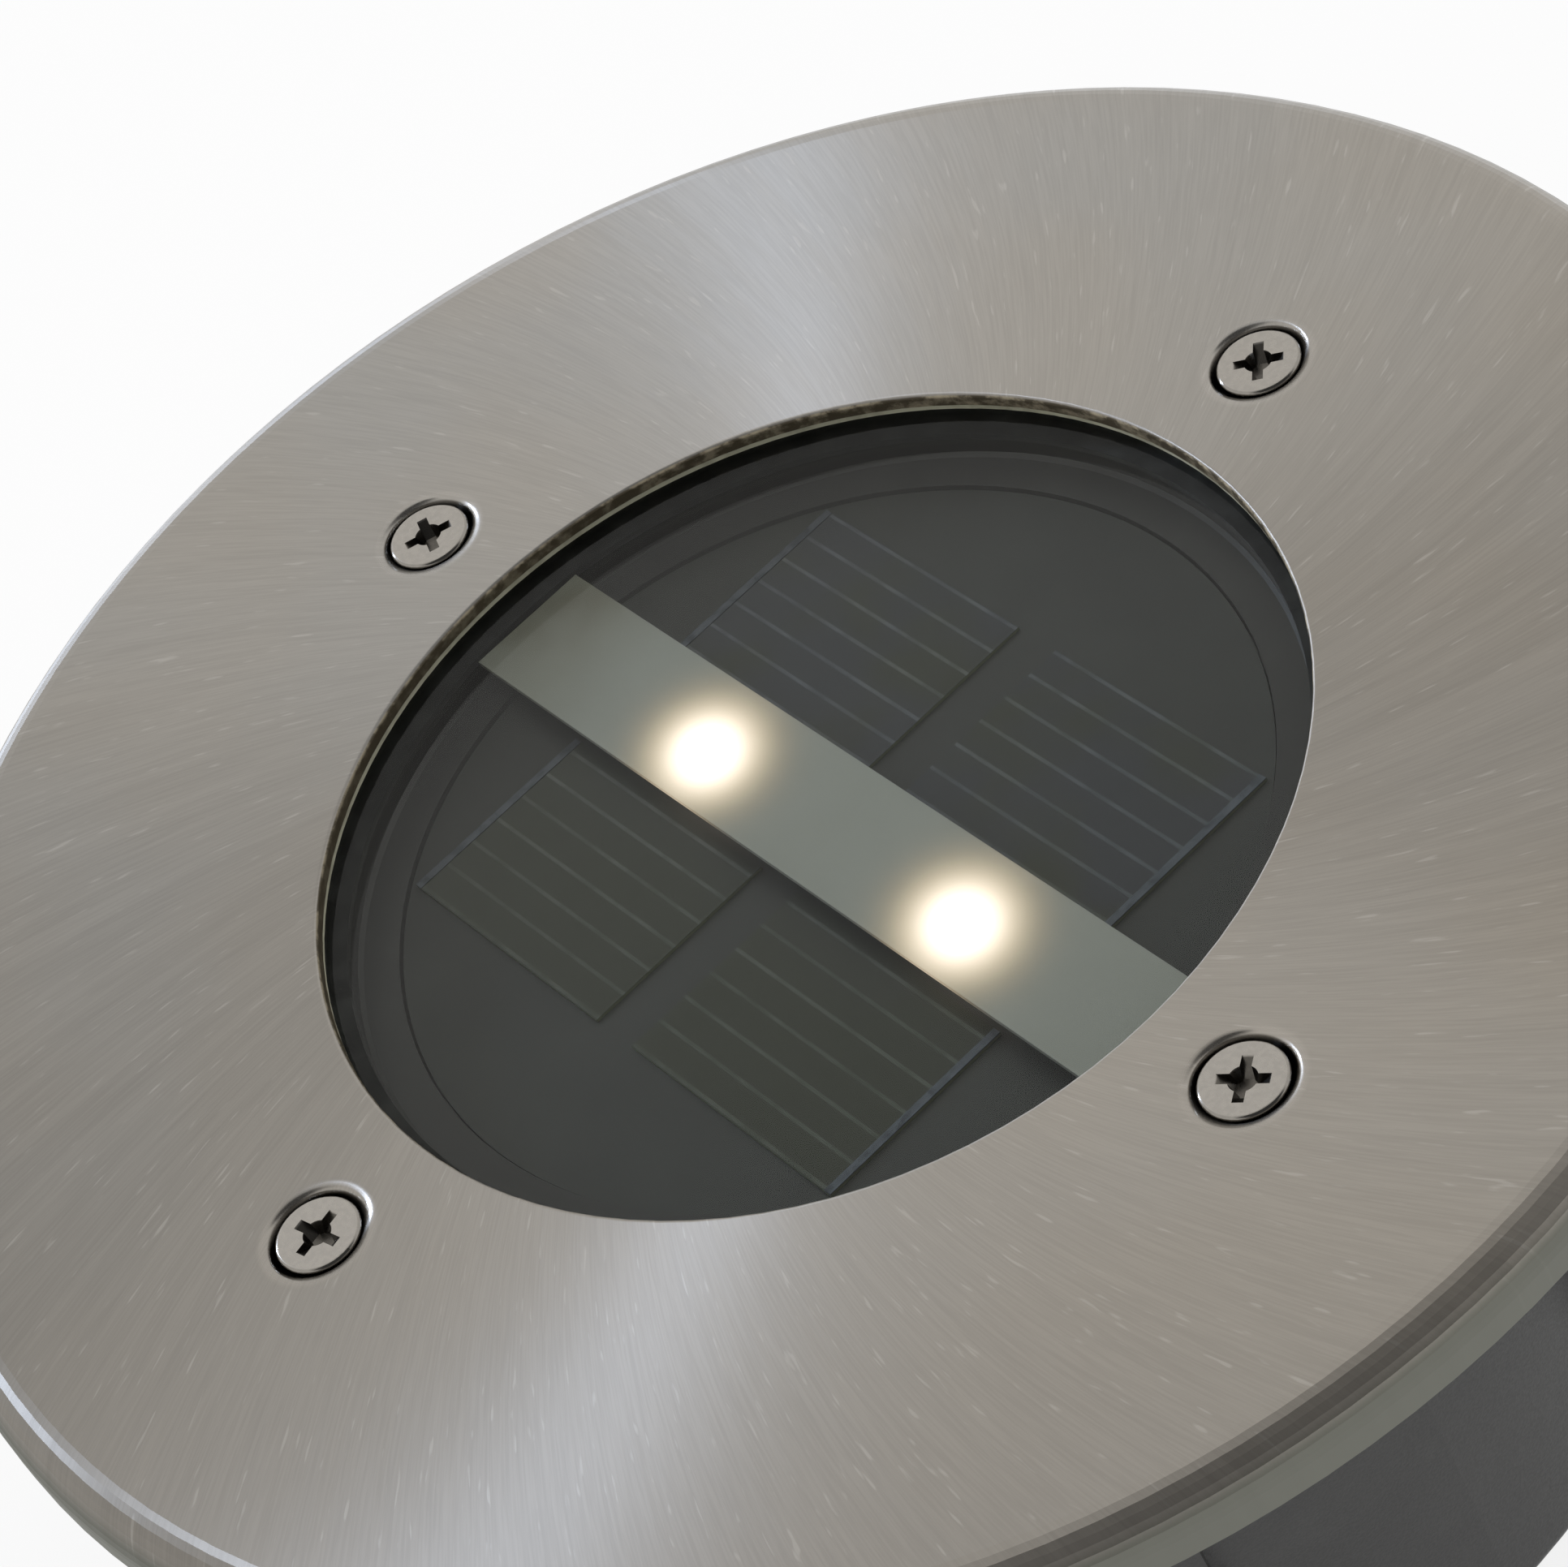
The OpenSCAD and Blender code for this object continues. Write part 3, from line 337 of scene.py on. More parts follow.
def plateSteel(look):
    steel = Finish("plateSteel")
    at = steel.place()
    x, y, z = steel.split(at)
    top = topOf("face_plate")
    radius = (x * x + y * y) ** 0.5

    # The strokes follow spirals: their noises change fast across a spiral and slowly with the radius
    spiral = steel.math("ARCTAN2", y, x) - steel.math("LOGARITHM", radius, math.e) * look["swirl"]
    around = [steel.math(way, spiral) * look["midRadius"] for way in ("COSINE", "SINE")]
    fine, broad, dash = (
        steel.noise(steel.join(*around, radius * look[kind]["stretch"]), *look[kind]["noise"])
        for kind in ("fine", "broad", "dash"))
    scratch = steel.smooth(dash, *look["dashRange"])

    # Round each screw the sheet is dished, down to a groove at the head that gets a painted shade
    toScrew = steel.toScrews(x, y, look["screwRing"])
    dished = steel.smooth(toScrew, *look["dishRange"])
    dish = steel.math("MAXIMUM", (look["dishRadius"] - toScrew) / look["dishWidth"], 0.0)
    groove = steel.smooth(toScrew, *look["grooveRange"])

    patch = steel.smooth(steel.noise(at, *look["patchNoise"]), *look["patchRange"])
    # Warm patches at random, and a painted warm reflection that grows towards +X
    warmth = patch * look["patchShare"] + steel.smooth(x, *look["warmReflectionRange"]) * (1 - look["patchShare"])
    colour = steel.mix(warmth, look["cool"], look["warm"])
    # A painted shade darkens the plate towards bearing -60 degrees
    paintedShadeSide = x * look["paintedShadeWay"][0] - y * look["paintedShadeWay"][1]
    colour = steel.mix(steel.smooth(paintedShadeSide, *look["paintedShadeRange"]), colour, look["paintedShadeColour"])
    grain = steel.smooth(fine, *noiseSpan, *look["grain"])
    colour = steel.node("ShaderNodeVectorMath", {"operation": "SCALE"}, {0: colour, "Scale": grain})
    # The dashes are scratches, painted lighter as a painted glint
    colour = steel.mix(scratch * look["dashGlintMix"], colour, look["dashGlintColour"])
    # A painted shade darkens the groove round each screw head
    colour = steel.mix(groove * look["grooveShadeMix"], colour, look["grooveShade"])
    # Below the bend the skirt gets a painted dark reflection
    colour = steel.mix(steel.smooth(z, *below(top, look["skirtDrops"])), colour, look["skirt"])

    # The cut wall of the opening is rough and dark, with lighter ticks, and a painted highlight along the
    # burr at its top
    cutWall = steel.smooth(radius, *look["cutRange"])
    tick = steel.noise(steel.join(*around, z * look["tickStretch"]), *look["tickNoise"])
    burrHighlight = steel.smooth(z, *below(top, look["burrDrops"])) * steel.smooth(tick, *look["burrRange"])
    # The lighter ticks thin out towards -Y: a painted shade on that side of the cut wall
    cutTone = steel.smooth(tick, *look["tickRange"]) * steel.smooth(y, *look["tickShadeSides"])
    cutColour = steel.mix(cutTone + burrHighlight * look["burrHighlightMix"], look["cut"], look["cutLight"])
    colour = steel.mix(cutWall, colour, cutColour)

    roughness = steel.smooth(broad, *noiseSpan, *look["roughness"]) - scratch * look["dashGloss"]
    roughness = roughness + cutWall * look["cutDull"] - dished * look["dishGloss"]
    height = (fine * look["fine"]["height"] + broad * look["broad"]["height"]
              + scratch * look["dash"]["height"] - dish * dish * (look["dishDepth"] / look["strokeDepth"]))
    return steel.surface(Base_Color=colour, Metallic=1 - cutWall * look["cutBare"], Roughness=roughness,
                         Anisotropic=look["anisotropy"], Anisotropic_Rotation=look["turn"] / 360,
                         Normal=steel.bump(height, look["strokeDepth"]))


screwLook = {
    "colour": (0.42, 0.40, 0.37),
    "wornShare": 0.92,
    "mottleNoise": (2.2, 3, 0.6),
    "mottleRange": (0.35, 0.65),
    "roughness": (0.10, 0.15),
    "recess": (0.035, 0.031, 0.025),
    "recessDrops": (0.02, 0.12),
    "recessRange": (2.55, 2.35),
    "recessMix": 0.75,
    "flatRange": (2.79, 2.69),
    "flatDull": 0.16,
    "rim": (0.03, 0.03, 0.028),
    "rimMix": 0.25,
    "scuffNoise": (6.0, 2, 0.5),
    "scuffRange": (0.62, 0.75),
    "scuffDull": 0.06,
    "dentNoise": (5.0, 2, 0.5),
    "dentDepth": 0.003,
}


def screwNickel(look, ring):
    nickel = Finish("screwNickel")
    at = nickel.place()
    x, y, z = nickel.split(at)
    out = nickel.toScrews(x, y, ring)
    mottle = nickel.noise(at, *look["mottleNoise"])
    scuff = nickel.smooth(nickel.noise(at, *look["scuffNoise"]), *look["scuffRange"])
    sunk = nickel.smooth(z, *below(topOf("face_screws"), look["recessDrops"]))
    # A painted shade darkens the cross recess
    recess = sunk * nickel.smooth(out, *look["recessRange"])
    flat = nickel.smooth(out, *look["flatRange"])
    colour = nickel.mix(nickel.smooth(mottle, *look["mottleRange"]), look["colour"],
                        scaled(look["wornShare"], look["colour"]))
    colour = nickel.mix(recess * look["recessMix"], colour, look["recess"])
    # A painted shade darkens the head's rounded rim outside its flat
    colour = nickel.mix((1 - flat) * look["rimMix"], colour, look["rim"])
    roughness = nickel.smooth(mottle, *noiseSpan, *look["roughness"])
    roughness = roughness + flat * look["flatDull"] + scuff * look["scuffDull"]
    dents = nickel.noise(at, *look["dentNoise"])
    return nickel.surface(Base_Color=colour, Metallic=1.0, Roughness=roughness,
                          Normal=nickel.bump(dents, look["dentDepth"]))


dress(plateSteel(plateLook), "face_plate")
dress(screwNickel(screwLook, plateLook["screwRing"]), "face_screws")
print("plate and screws dressed")


siliconeLook = {
    "clean": (0.53, 0.53, 0.41),
    "soiled": (0.35, 0.345, 0.26),
    "soilNoise": (0.35, 4, 0.6),
    "soilRange": (0.4, 0.7),
    "roughness": (0.5, 0.65),
    "skinNoise": (3.0, 3, 0.6),
    "skinDepth": 0.02,
}


def paleSilicone(look):
    rubber = Finish("paleSilicone")
    at = rubber.place()
    soil = rubber.smooth(rubber.noise(at, *look["soilNoise"]), *look["soilRange"])
    return rubber.surface(Base_Color=rubber.mix(soil, look["clean"], look["soiled"]),
                          Roughness=rubber.smooth(soil, 0, 1, *look["roughness"]),
                          Normal=rubber.bump(rubber.noise(at, *look["skinNoise"]), look["skinDepth"]))


glassLook = {
    "colour": (0.97, 0.99, 0.98),
    "filmed": (0.94, 0.965, 0.95),
    "filmNoise": (0.12, 3, 0.6),
    "filmRange": (0.4, 0.8),
    "ior": 1.5,
    "mirrorTint": (0.08, 0.08, 0.08),
    "clear": (0.95, 0.97, 0.96),
}


def windowGlass(look):
    # Clear glass that bends what is seen through it, and lets lamps and diffuse light straight through
    glass = Finish("windowGlass")
    film = glass.smooth(glass.noise(glass.place(), *look["filmNoise"]), *look["filmRange"])
    pane = glass.node("ShaderNodeBsdfPrincipled", None,
                      {"Base Color": glass.mix(film, look["colour"], look["filmed"]),
                       "Roughness": 0.0, "IOR": look["ior"],
                       "Transmission Weight": 1.0, "Specular Tint": look["mirrorTint"]})
    outputs = glass.node("ShaderNodeLightPath").socket.node.outputs
    shadow, diffuse = (Signal(glass, outputs[name]) for name in ("Is Shadow Ray", "Is Diffuse Ray"))
    clear = glass.node("ShaderNodeBsdfTransparent", None, {"Color": look["clear"]})
    shown = glass.node("ShaderNodeMixShader", None,
                       {0: glass.math("MAXIMUM", shadow, diffuse), 1: pane, 2: clear})
    glass.node("ShaderNodeOutputMaterial", None, {0: shown})
    return glass.owner


# Each lamp's glow is painted into the strip's emission, shifted off the lamp: a bright core with a faint
# wide tail, one strength and width per colour

stripLook = {
    "colour": (0.158, 0.164, 0.142),
    "leftEndDark": (0.078, 0.074, 0.052),
    "leftEndRange": (-20, -31, 0.15, 0.95),
    "cloudNoise": (0.10, 3, 0.55),
    "cloudRange": (0.35, 0.7),
    "cloudShare": 0.6,
    "lampX": 13.2,
    "glowShift": (2.24, -0.77),
    "stretchTurn": -20,
    "stretch": 1.13,
    "squeeze": 0.94,
    "glowStrength": (2.05, 1.80, 1.67),
    "glowWidth": (3.22, 3.09, 2.82),
    "tailStrength": 0.03,
    "tailWidth": 10,
    "roughness": 0.55,
    "frostNoise": (9.0, 2, 0.5),
    "frostDepth": 0.001,
}


def frostedStrip(look):
    strip = Finish("frostedStrip")
    at = strip.place()
    x, y, _ = strip.split(at)
    shiftX, shiftY = look["glowShift"]
    turn = math.radians(look["stretchTurn"])
    glow = [0.0, 0.0, 0.0]
    for lampX in (-look["lampX"], look["lampX"]):
        dx, dy = x - (lampX + shiftX), y - shiftY
        along = (dx * math.cos(turn) + dy * math.sin(turn)) / look["stretch"]
        across = (dy * math.cos(turn) - dx * math.sin(turn)) / look["squeeze"]
        square = along * along + across * across
        tail = strip.math("EXPONENT", square * (-1 / look["tailWidth"] ** 2)) * look["tailStrength"]
        for part, (strength, width) in enumerate(zip(look["glowStrength"], look["glowWidth"])):
            core = strip.math("EXPONENT", square * (-1 / width ** 2)) * strength
            glow[part] = core + tail + glow[part]
    cloud = strip.smooth(strip.noise(at, *look["cloudNoise"]), *look["cloudRange"])
    cloudy = cloud * look["cloudShare"] + (1 - look["cloudShare"])
    # Darker towards the left end, broken up by cloud noise
    leftEndDarkened = strip.smooth(x, *look["leftEndRange"]) * cloudy
    colour = strip.mix(leftEndDarkened, look["colour"], look["leftEndDark"])
    # The emission is the lamps' painted glow
    return strip.surface(Base_Color=colour, Roughness=look["roughness"], Emission_Color=strip.join(*glow),
                         Emission_Strength=1.0,
                         Normal=strip.bump(strip.noise(at, *look["frostNoise"]), look["frostDepth"]))


rubberLook = {
    "colours": {"blackRubber": (0.018, 0.018, 0.017), "greyRubber": (0.10, 0.10, 0.10),
                "buttonRubber": (0.05, 0.05, 0.05), "redSleeve": (0.30, 0.02, 0.015),
                "blackSleeve": (0.015, 0.015, 0.015)},
    "bloomNoise": (0.5, 4, 0.6),
    "bloomRange": (0.4, 0.75),
    "bloomGain": 2.2,
    "bloomLift": 0.006,
    "bloomMix": 0.6,
    "roughness": (0.5, 0.68),
    "skinNoise": (6.0, 3, 0.6),
    "skinDepth": 0.01,
}


def softRubber(name, look):
    rubber = Finish(name)
    at = rubber.place()
    colour = look["colours"][name]
    pale = tuple(look["bloomGain"] * part + look["bloomLift"] for part in colour)
    bloom = rubber.smooth(rubber.noise(at, *look["bloomNoise"]), *look["bloomRange"])
    return rubber.surface(Base_Color=rubber.mix(bloom * look["bloomMix"], colour, pale),
                          Roughness=rubber.smooth(bloom, 0, 1, *look["roughness"]),
                          Normal=rubber.bump(rubber.noise(at, *look["skinNoise"]), look["skinDepth"]))


dress(paleSilicone(siliconeLook), "window_gasket")
dress(windowGlass(glassLook), "window_glass")
dress(frostedStrip(stripLook), "light_strip")
dress(softRubber("blackRubber", rubberLook), "glass_seal", "frame_seal", "switch_seal")
print("window dressed")


boardLook = {
    "colour": (0.013, 0.014, 0.012),
    "hazeGain": 1.35,
    "hazeNoise": (0.09, 3, 0.5),
    "hazeRange": (0.35, 0.7),
    "fleck": (0.04, 0.042, 0.038),
    "fleckNoise": (3.5, 3, 0.6),
    "fleckRange": (0.45, 0.8),
    "fleckMix": 0.2,
    "roughness": (0.42, 0.6),
    "shine": 0.22,
    "waveNoise": (2.0, 3, 0.6),
    "waveDepth": 0.001,
}


def boardResin(look):
    board = Finish("boardResin")
    at = board.place()
    fleck = board.smooth(board.noise(at, *look["fleckNoise"]), *look["fleckRange"])
    haze = board.smooth(board.noise(at, *look["hazeNoise"]), *look["hazeRange"])
    tone = board.mix(haze, look["colour"], scaled(look["hazeGain"], look["colour"]))
    tone = board.mix(fleck * look["fleckMix"], tone, look["fleck"])
    return board.surface(Base_Color=tone, Roughness=board.smooth(fleck, 0, 1, *look["roughness"]),
                         Specular_IOR_Level=look["shine"],
                         Normal=board.bump(board.noise(at, *look["waveNoise"]), look["waveDepth"]))


cellLook = {
    "colour": (0.013, 0.0155, 0.008),
    "cool": (0.014, 0.016, 0.019),
    "coolNoise": (0.12, 2, 0.5),
    "coolRange": (0.3, 0.6),
    "coolSide": (-12, 6),
    "finger": (0.058, 0.064, 0.054),
    "fingerCool": (0.058, 0.065, 0.071),
    "fingerTop": 19.1,
    "fingerEnd": 0.2,
    "fingerPitch": 2.28,
    "countShift": 100,
    "fingerWidth": 0.18,
    "wearNoise": (0.35, 3, 0.6),
    "wearShare": (0.35, 1.0),
    "wearSlant": 0.6,
    "wearSides": (-25, 20, 1.0, 0.65),
    "sidePaintedLight": 7,
    "sideDrops": (0.01, 0.03),
    "roughness": (0.30, 0.5),
    "shine": 0.22,
    "waveNoise": (1.5, 2, 0.5),
    "waveShare": 0.1,
    "waveDepth": 0.002,
}


def cellSilicon(look):
    cell = Finish("cellSilicon")
    at = cell.place()
    x, y, z = cell.split(at)

    # Fingers run along X at an even pitch, counted inwards from the outermost one. The shift by
    # whole fingers keeps the count above zero
    outward = cell.math("ABSOLUTE", y)
    count = (look["fingerTop"] - outward) / look["fingerPitch"]
    phase = cell.math("FRACT", count + (look["countShift"] + 0.5))
    away = cell.math("ABSOLUTE", phase - 0.5) * look["fingerPitch"]
    line = cell.smooth(away, look["fingerWidth"] / 2, look["fingerWidth"], 1.0, 0.0)
    line = line * cell.smooth(outward, look["fingerTop"] + look["fingerEnd"],
                              look["fingerTop"] + look["fingerEnd"] / 2)
    wear = cell.smooth(cell.noise(at, *look["wearNoise"]), *noiseSpan, *look["wearShare"])
    wear = wear * cell.smooth(x * look["wearSlant"] - y, *look["wearSides"])

    tint = cell.smooth(cell.noise(at, *look["coolNoise"]), *look["coolRange"])
    tint = tint * cell.smooth(y, *look["coolSide"])
    tone = cell.mix(tint, look["colour"], look["cool"])
    tone = cell.mix(line * wear, tone, cell.mix(tint, look["finger"], look["fingerCool"]))
    # The side faces are painted lighter: painted light against their shade
    side = cell.smooth(z, *below(topOf("solar_cell_1"), look["sideDrops"]))
    tone = cell.mix(side, tone, scaled(look["sidePaintedLight"], look["colour"]))
    waves = cell.noise(at, *look["waveNoise"]) * look["waveShare"]
    return cell.surface(Base_Color=tone, Roughness=cell.smooth(line, 0, 1, *look["roughness"]),
                        Specular_IOR_Level=look["shine"], Normal=cell.bump(line + waves, look["waveDepth"]))


metalLook = {
    "mottleNoise": (1.2, 4, 0.6),
    "grimeRange": (0.42, 0.75),
    "roughRange": (0.3, 0.75),
    "roughSpread": (-0.06, 0.14),
    "pitNoise": (7.0, 3, 0.6),
    "pitDepth": 0.006,
    "kinds": {
        "tinnedLine": {"colour": (0.065, 0.073, 0.082), "dark": (0.035, 0.040, 0.045),
                       "roughness": 0.5, "scale": 1, "grime": 0.9},
        "steelScrew": {"colour": (0.55, 0.54, 0.51), "dark": (0.33, 0.31, 0.28),
                       "roughness": 0.3, "scale": 1, "grime": 0.5},
        "capacitorCan": {"colour": (0.50, 0.50, 0.50), "dark": (0.12, 0.13, 0.20),
                         "roughness": 0.28, "scale": 1, "grime": 0.5},
        "insertBrass": {"colour": (0.66, 0.48, 0.20), "dark": (0.38, 0.25, 0.10),
                        "roughness": 0.28, "scale": 1, "grime": 0.5},
        "switchNut": {"colour": (0.58, 0.57, 0.54), "dark": (0.36, 0.35, 0.32),
                      "roughness": 0.3, "scale": 1, "grime": 0.5},
        "contactNickel": {"colour": (0.60, 0.59, 0.55), "dark": (0.40, 0.38, 0.33),
                          "roughness": 0.25, "scale": 1, "grime": 0.5},
        "solderTin": {"colour": (0.52, 0.52, 0.51), "dark": (0.34, 0.34, 0.33),
                      "roughness": 0.28, "scale": 2, "grime": 0.5},
    },
}


def metal(name, look):
    kind = look["kinds"][name]
    made = Finish(name)
    at = made.place()

    def scaledNoise(key):
        scale, detail, rough = look[key]
        return made.noise(at, scale * kind["scale"], detail, rough)

    mottle = scaledNoise("mottleNoise")
    grime = made.smooth(mottle, *look["grimeRange"]) * kind["grime"]
    smoothest, roughest = (kind["roughness"] + spread for spread in look["roughSpread"])
    return made.surface(Base_Color=made.mix(grime, kind["colour"], kind["dark"]), Metallic=1.0,
                        Roughness=made.smooth(mottle, *look["roughRange"], smoothest, roughest),
                        Normal=made.bump(scaledNoise("pitNoise"), look["pitDepth"]))


lampLook = {
    "resin": (0.80, 0.76, 0.62),
    "resinPale": (0.86, 0.84, 0.74),
    "cloudNoise": (0.8, 2, 0.5),
    "roughness": (0.12, 0.2),
    "glowLow": (0.25, 0.19, 0.10),
    "glowHigh": (1.0, 0.93, 0.76),
    "glowDrops": (5.9, 0.9),
    "glowStrength": 1.6,
}


def lampResin(look):
    resin = Finish("lampResin")
    at = resin.place()
    _, _, z = resin.split(at)
    bright = resin.smooth(z, *below(topOf("led_1"), look["glowDrops"]))
    cloud = resin.noise(at, *look["cloudNoise"])
    tone = resin.mix(resin.smooth(cloud, *noiseSpan), look["resin"], look["resinPale"])
    return resin.surface(Base_Color=tone, Roughness=resin.smooth(cloud, *noiseSpan, *look["roughness"]),
                         Emission_Color=resin.mix(bright, look["glowLow"], look["glowHigh"]),
                         Emission_Strength=look["glowStrength"])


dress(boardResin(boardLook), "solar_board")
dress(cellSilicon(cellLook), "solar_cell_1", "solar_cell_2", "solar_cell_3", "solar_cell_4")
dress(metal("tinnedLine", metalLook), "cell_busbars")
dress(lampResin(lampLook), "led_1", "led_2")
print("panel dressed")


mouldLook = {
    "sparkNoise": (4.5, 3, 0.62),
    "flowNoise": (0.08, 3, 0.5),
    "flowRange": (0.35, 0.65),
    "flowGain": 1.3,
    "scuffNoise": (0.9, 5, 0.65),
    "scuffRange": (0.60, 0.78),
    "scuffMix": 0.35,
    "scuffDull": 0.12,
    "scuffHeight": 0.2,
    "dustNoise": (0.22, 4, 0.6),
    "dustRange": (0.5, 0.8),
    "dustMix": 0.25,
    "roughSpread": (-0.05, 0.06),
    "kinds": {
        "framePlastic": {"colour": (0.013, 0.013, 0.012), "worn": (0.035, 0.035, 0.032),
                         "sparkDepth": 0.001, "roughness": 0.36, "shine": 0.2},
        "cupPlastic": {"colour": (0.020, 0.020, 0.019), "worn": (0.050, 0.050, 0.047),
                       "sparkDepth": 0.02, "roughness": 0.42, "shine": 0.5},
        "switchPlastic": {"colour": (0.020, 0.020, 0.019), "worn": (0.050, 0.050, 0.047),
                          "sparkDepth": 0.008, "roughness": 0.3, "shine": 0.5},
    },
}


def mouldedPlastic(name, look):
    kind = look["kinds"][name]
    plastic = Finish(name)
    at = plastic.place()
    spark = plastic.noise(at, *look["sparkNoise"])
    flow = plastic.smooth(plastic.noise(at, *look["flowNoise"]), *look["flowRange"])
    scuff = plastic.smooth(plastic.noise(at, *look["scuffNoise"]), *look["scuffRange"])
    dusty = plastic.smooth(plastic.noise(at, *look["dustNoise"]), *look["dustRange"])
    tone = plastic.mix(flow, kind["colour"], scaled(look["flowGain"], kind["colour"]))
    tone = plastic.mix(scuff * look["scuffMix"] + dusty * look["dustMix"], tone, kind["worn"])
    smoothest, roughest = (kind["roughness"] + spread for spread in look["roughSpread"])
    rough = plastic.smooth(spark, *noiseSpan, smoothest, roughest) + scuff * look["scuffDull"]
    return plastic.surface(Base_Color=tone, Roughness=rough, Specular_IOR_Level=kind["shine"],
                           Normal=plastic.bump(spark + scuff * look["scuffHeight"], kind["sparkDepth"]))


dress(mouldedPlastic("framePlastic", mouldLook), "panel_frame")
dress(mouldedPlastic("cupPlastic", mouldLook), "housing_cup", "battery_cover")
dress(mouldedPlastic("switchPlastic", mouldLook), "switch_body")
print("mouldings dressed")


circuitLook = {
    "bare": (0.010, 0.085, 0.035),
    "copper": (0.018, 0.14, 0.06),
    "pourScale": 0.16,
    "pourRange": (0.03, 0.05),
    "weaveNoise": (2.4, 3, 0.6),
    "weaveHeight": 0.3,
    "roughness": (0.28, 0.4),
    "coat": 0.3,
    "depth": 0.03,
}


def circuitBoard(look):
    # Solder mask over copper areas that narrow gaps divide
    resist = Finish("circuitGreen")
    at = resist.place()
    weave = resist.noise(at, *look["weaveNoise"])
    toGap = resist.node("ShaderNodeTexVoronoi", {"feature": "DISTANCE_TO_EDGE"},
                        {"Vector": at, "Scale": look["pourScale"]}, "Distance")
    pour = resist.smooth(toGap, *look["pourRange"])
    return resist.surface(Base_Color=resist.mix(pour, look["bare"], look["copper"]),
                          Roughness=resist.smooth(weave, *noiseSpan, *look["roughness"]),
                          Coat_Weight=look["coat"],
                          Normal=resist.bump(pour + weave * look["weaveHeight"], look["depth"]))


castLook = {
    "poreNoise": (3.0, 4, 0.65),
    "poreRange": (0.4, 0.75),
    "poreDepth": 0.02,
    "roughSpread": (-0.05, 0.1),
    "kinds": {
        "ferrite": {"colour": (0.035, 0.035, 0.038), "light": (0.075, 0.075, 0.08), "roughness": 0.6},
        "chipResin": {"colour": (0.015, 0.015, 0.016), "light": (0.03, 0.03, 0.032), "roughness": 0.5},
    },
}


def darkCast(name, look):
    kind = look["kinds"][name]
    cast = Finish(name)
    pores = cast.noise(cast.place(), *look["poreNoise"])
    smoothest, roughest = (kind["roughness"] + spread for spread in look["roughSpread"])
    tone = cast.mix(cast.smooth(pores, *look["poreRange"]), kind["colour"], kind["light"])
    return cast.surface(Base_Color=tone, Roughness=cast.smooth(pores, *noiseSpan, smoothest, roughest),
                        Normal=cast.bump(pores, look["poreDepth"]))


batteryLook = {
    "tipRange": (25.2, 25.4),
    "endRange": (-22.9, -23.1),
    "bandRange": (12.0, 12.2),
    "bare": (0.62, 0.61, 0.58),
    "green": (0.03, 0.22, 0.09),
    "silver": (0.55, 0.56, 0.54),
    "fold": (0.02, 0.13, 0.06),
    "foldNoise": (0.5, 3, 0.5),
    "foldRange": (0.4, 0.7),
    "foldMix": 0.3,
    "foldDepth": 0.03,
    "roughness": (0.26, 0.36),
}


def batterySleeve(look):
    # A shrunk film in two colours, with bare metal at both ends
    sleeve = Finish("batterySleeve")
    at = sleeve.place()
    x, _, _ = sleeve.split(at)
    bare = sleeve.smooth(x, *look["tipRange"]) + sleeve.smooth(x, *look["endRange"])
    shrink = sleeve.noise(at, *look["foldNoise"])
    film = sleeve.mix(sleeve.smooth(x, *look["bandRange"]), look["green"], look["silver"])
    film = sleeve.mix(sleeve.smooth(shrink, *look["foldRange"]) * look["foldMix"], film, look["fold"])
    return sleeve.surface(Base_Color=sleeve.mix(bare, film, look["bare"]), Metallic=bare,
                          Roughness=sleeve.smooth(shrink, *noiseSpan, *look["roughness"]),
                          Normal=sleeve.bump(shrink, look["foldDepth"]))


contactNickel = metal("contactNickel", metalLook)
dress(circuitBoard(circuitLook), "control_board")
dress(metal("steelScrew", metalLook), "board_screws", "battery_cover_screws")
dress(darkCast("ferrite", castLook), "power_inductor")
dress(darkCast("chipResin", castLook), "controller_chip")
dress(metal("capacitorCan", metalLook), "storage_capacitor")
dress(metal("insertBrass", metalLook), "screw_inserts")
dress(metal("switchNut", metalLook), "switch_nut")
dress(contactNickel, "spring_plate", "battery_contact")
dress(batterySleeve(batteryLook), "battery_cell")
dress(softRubber("greyRubber", rubberLook), "battery_cover_seal")
dress(softRubber("buttonRubber", rubberLook), "switch_button")
print("inner pieces dressed")


# Wires: springs as round wire with closed end turns, leads with stripped and soldered ends

wireLook = {
    "mergeDistance": 0.001,
    "smoothAngle": 40,
    "rings": 3,
}


def finishPiece(piece, name, material, smoothAngle=wireLook["smoothAngle"]):
    piece.name = name
    bpy.ops.object.mode_set(mode="EDIT")
    bpy.ops.mesh.select_all(action="SELECT")
    bpy.ops.mesh.remove_doubles(threshold=wireLook["mergeDistance"] * mm)
    bpy.ops.mesh.normals_make_consistent(inside=False)
    bpy.ops.object.mode_set(mode="OBJECT")
    bpy.ops.object.transform_apply(location=True, rotation=True, scale=True)
    bpy.ops.object.shade_smooth_by_angle(angle=math.radians(smoothAngle))
    piece.data.materials.clear()
    piece.data.materials.append(material)
    return piece


def roundWire(name, route, radius, material, rings=wireLook["rings"]):
    bpy.ops.object.select_all(action="DESELECT")
    bpy.ops.curve.primitive_bezier_curve_add(location=(0, 0, 0))
    wire = bpy.context.object
    wire.data.splines.clear()
    spline = wire.data.splines.new("POLY")
    spline.points.add(len(route) - 1)
    for point, at in zip(spline.points, route):
        point.co = (*scaled(mm, at), 1)
    wire.data.bevel_depth = radius * mm
    wire.data.bevel_resolution = rings
    wire.data.use_fill_caps = True
    bpy.ops.object.convert(target="MESH")
    return finishPiece(bpy.context.object, name, material)


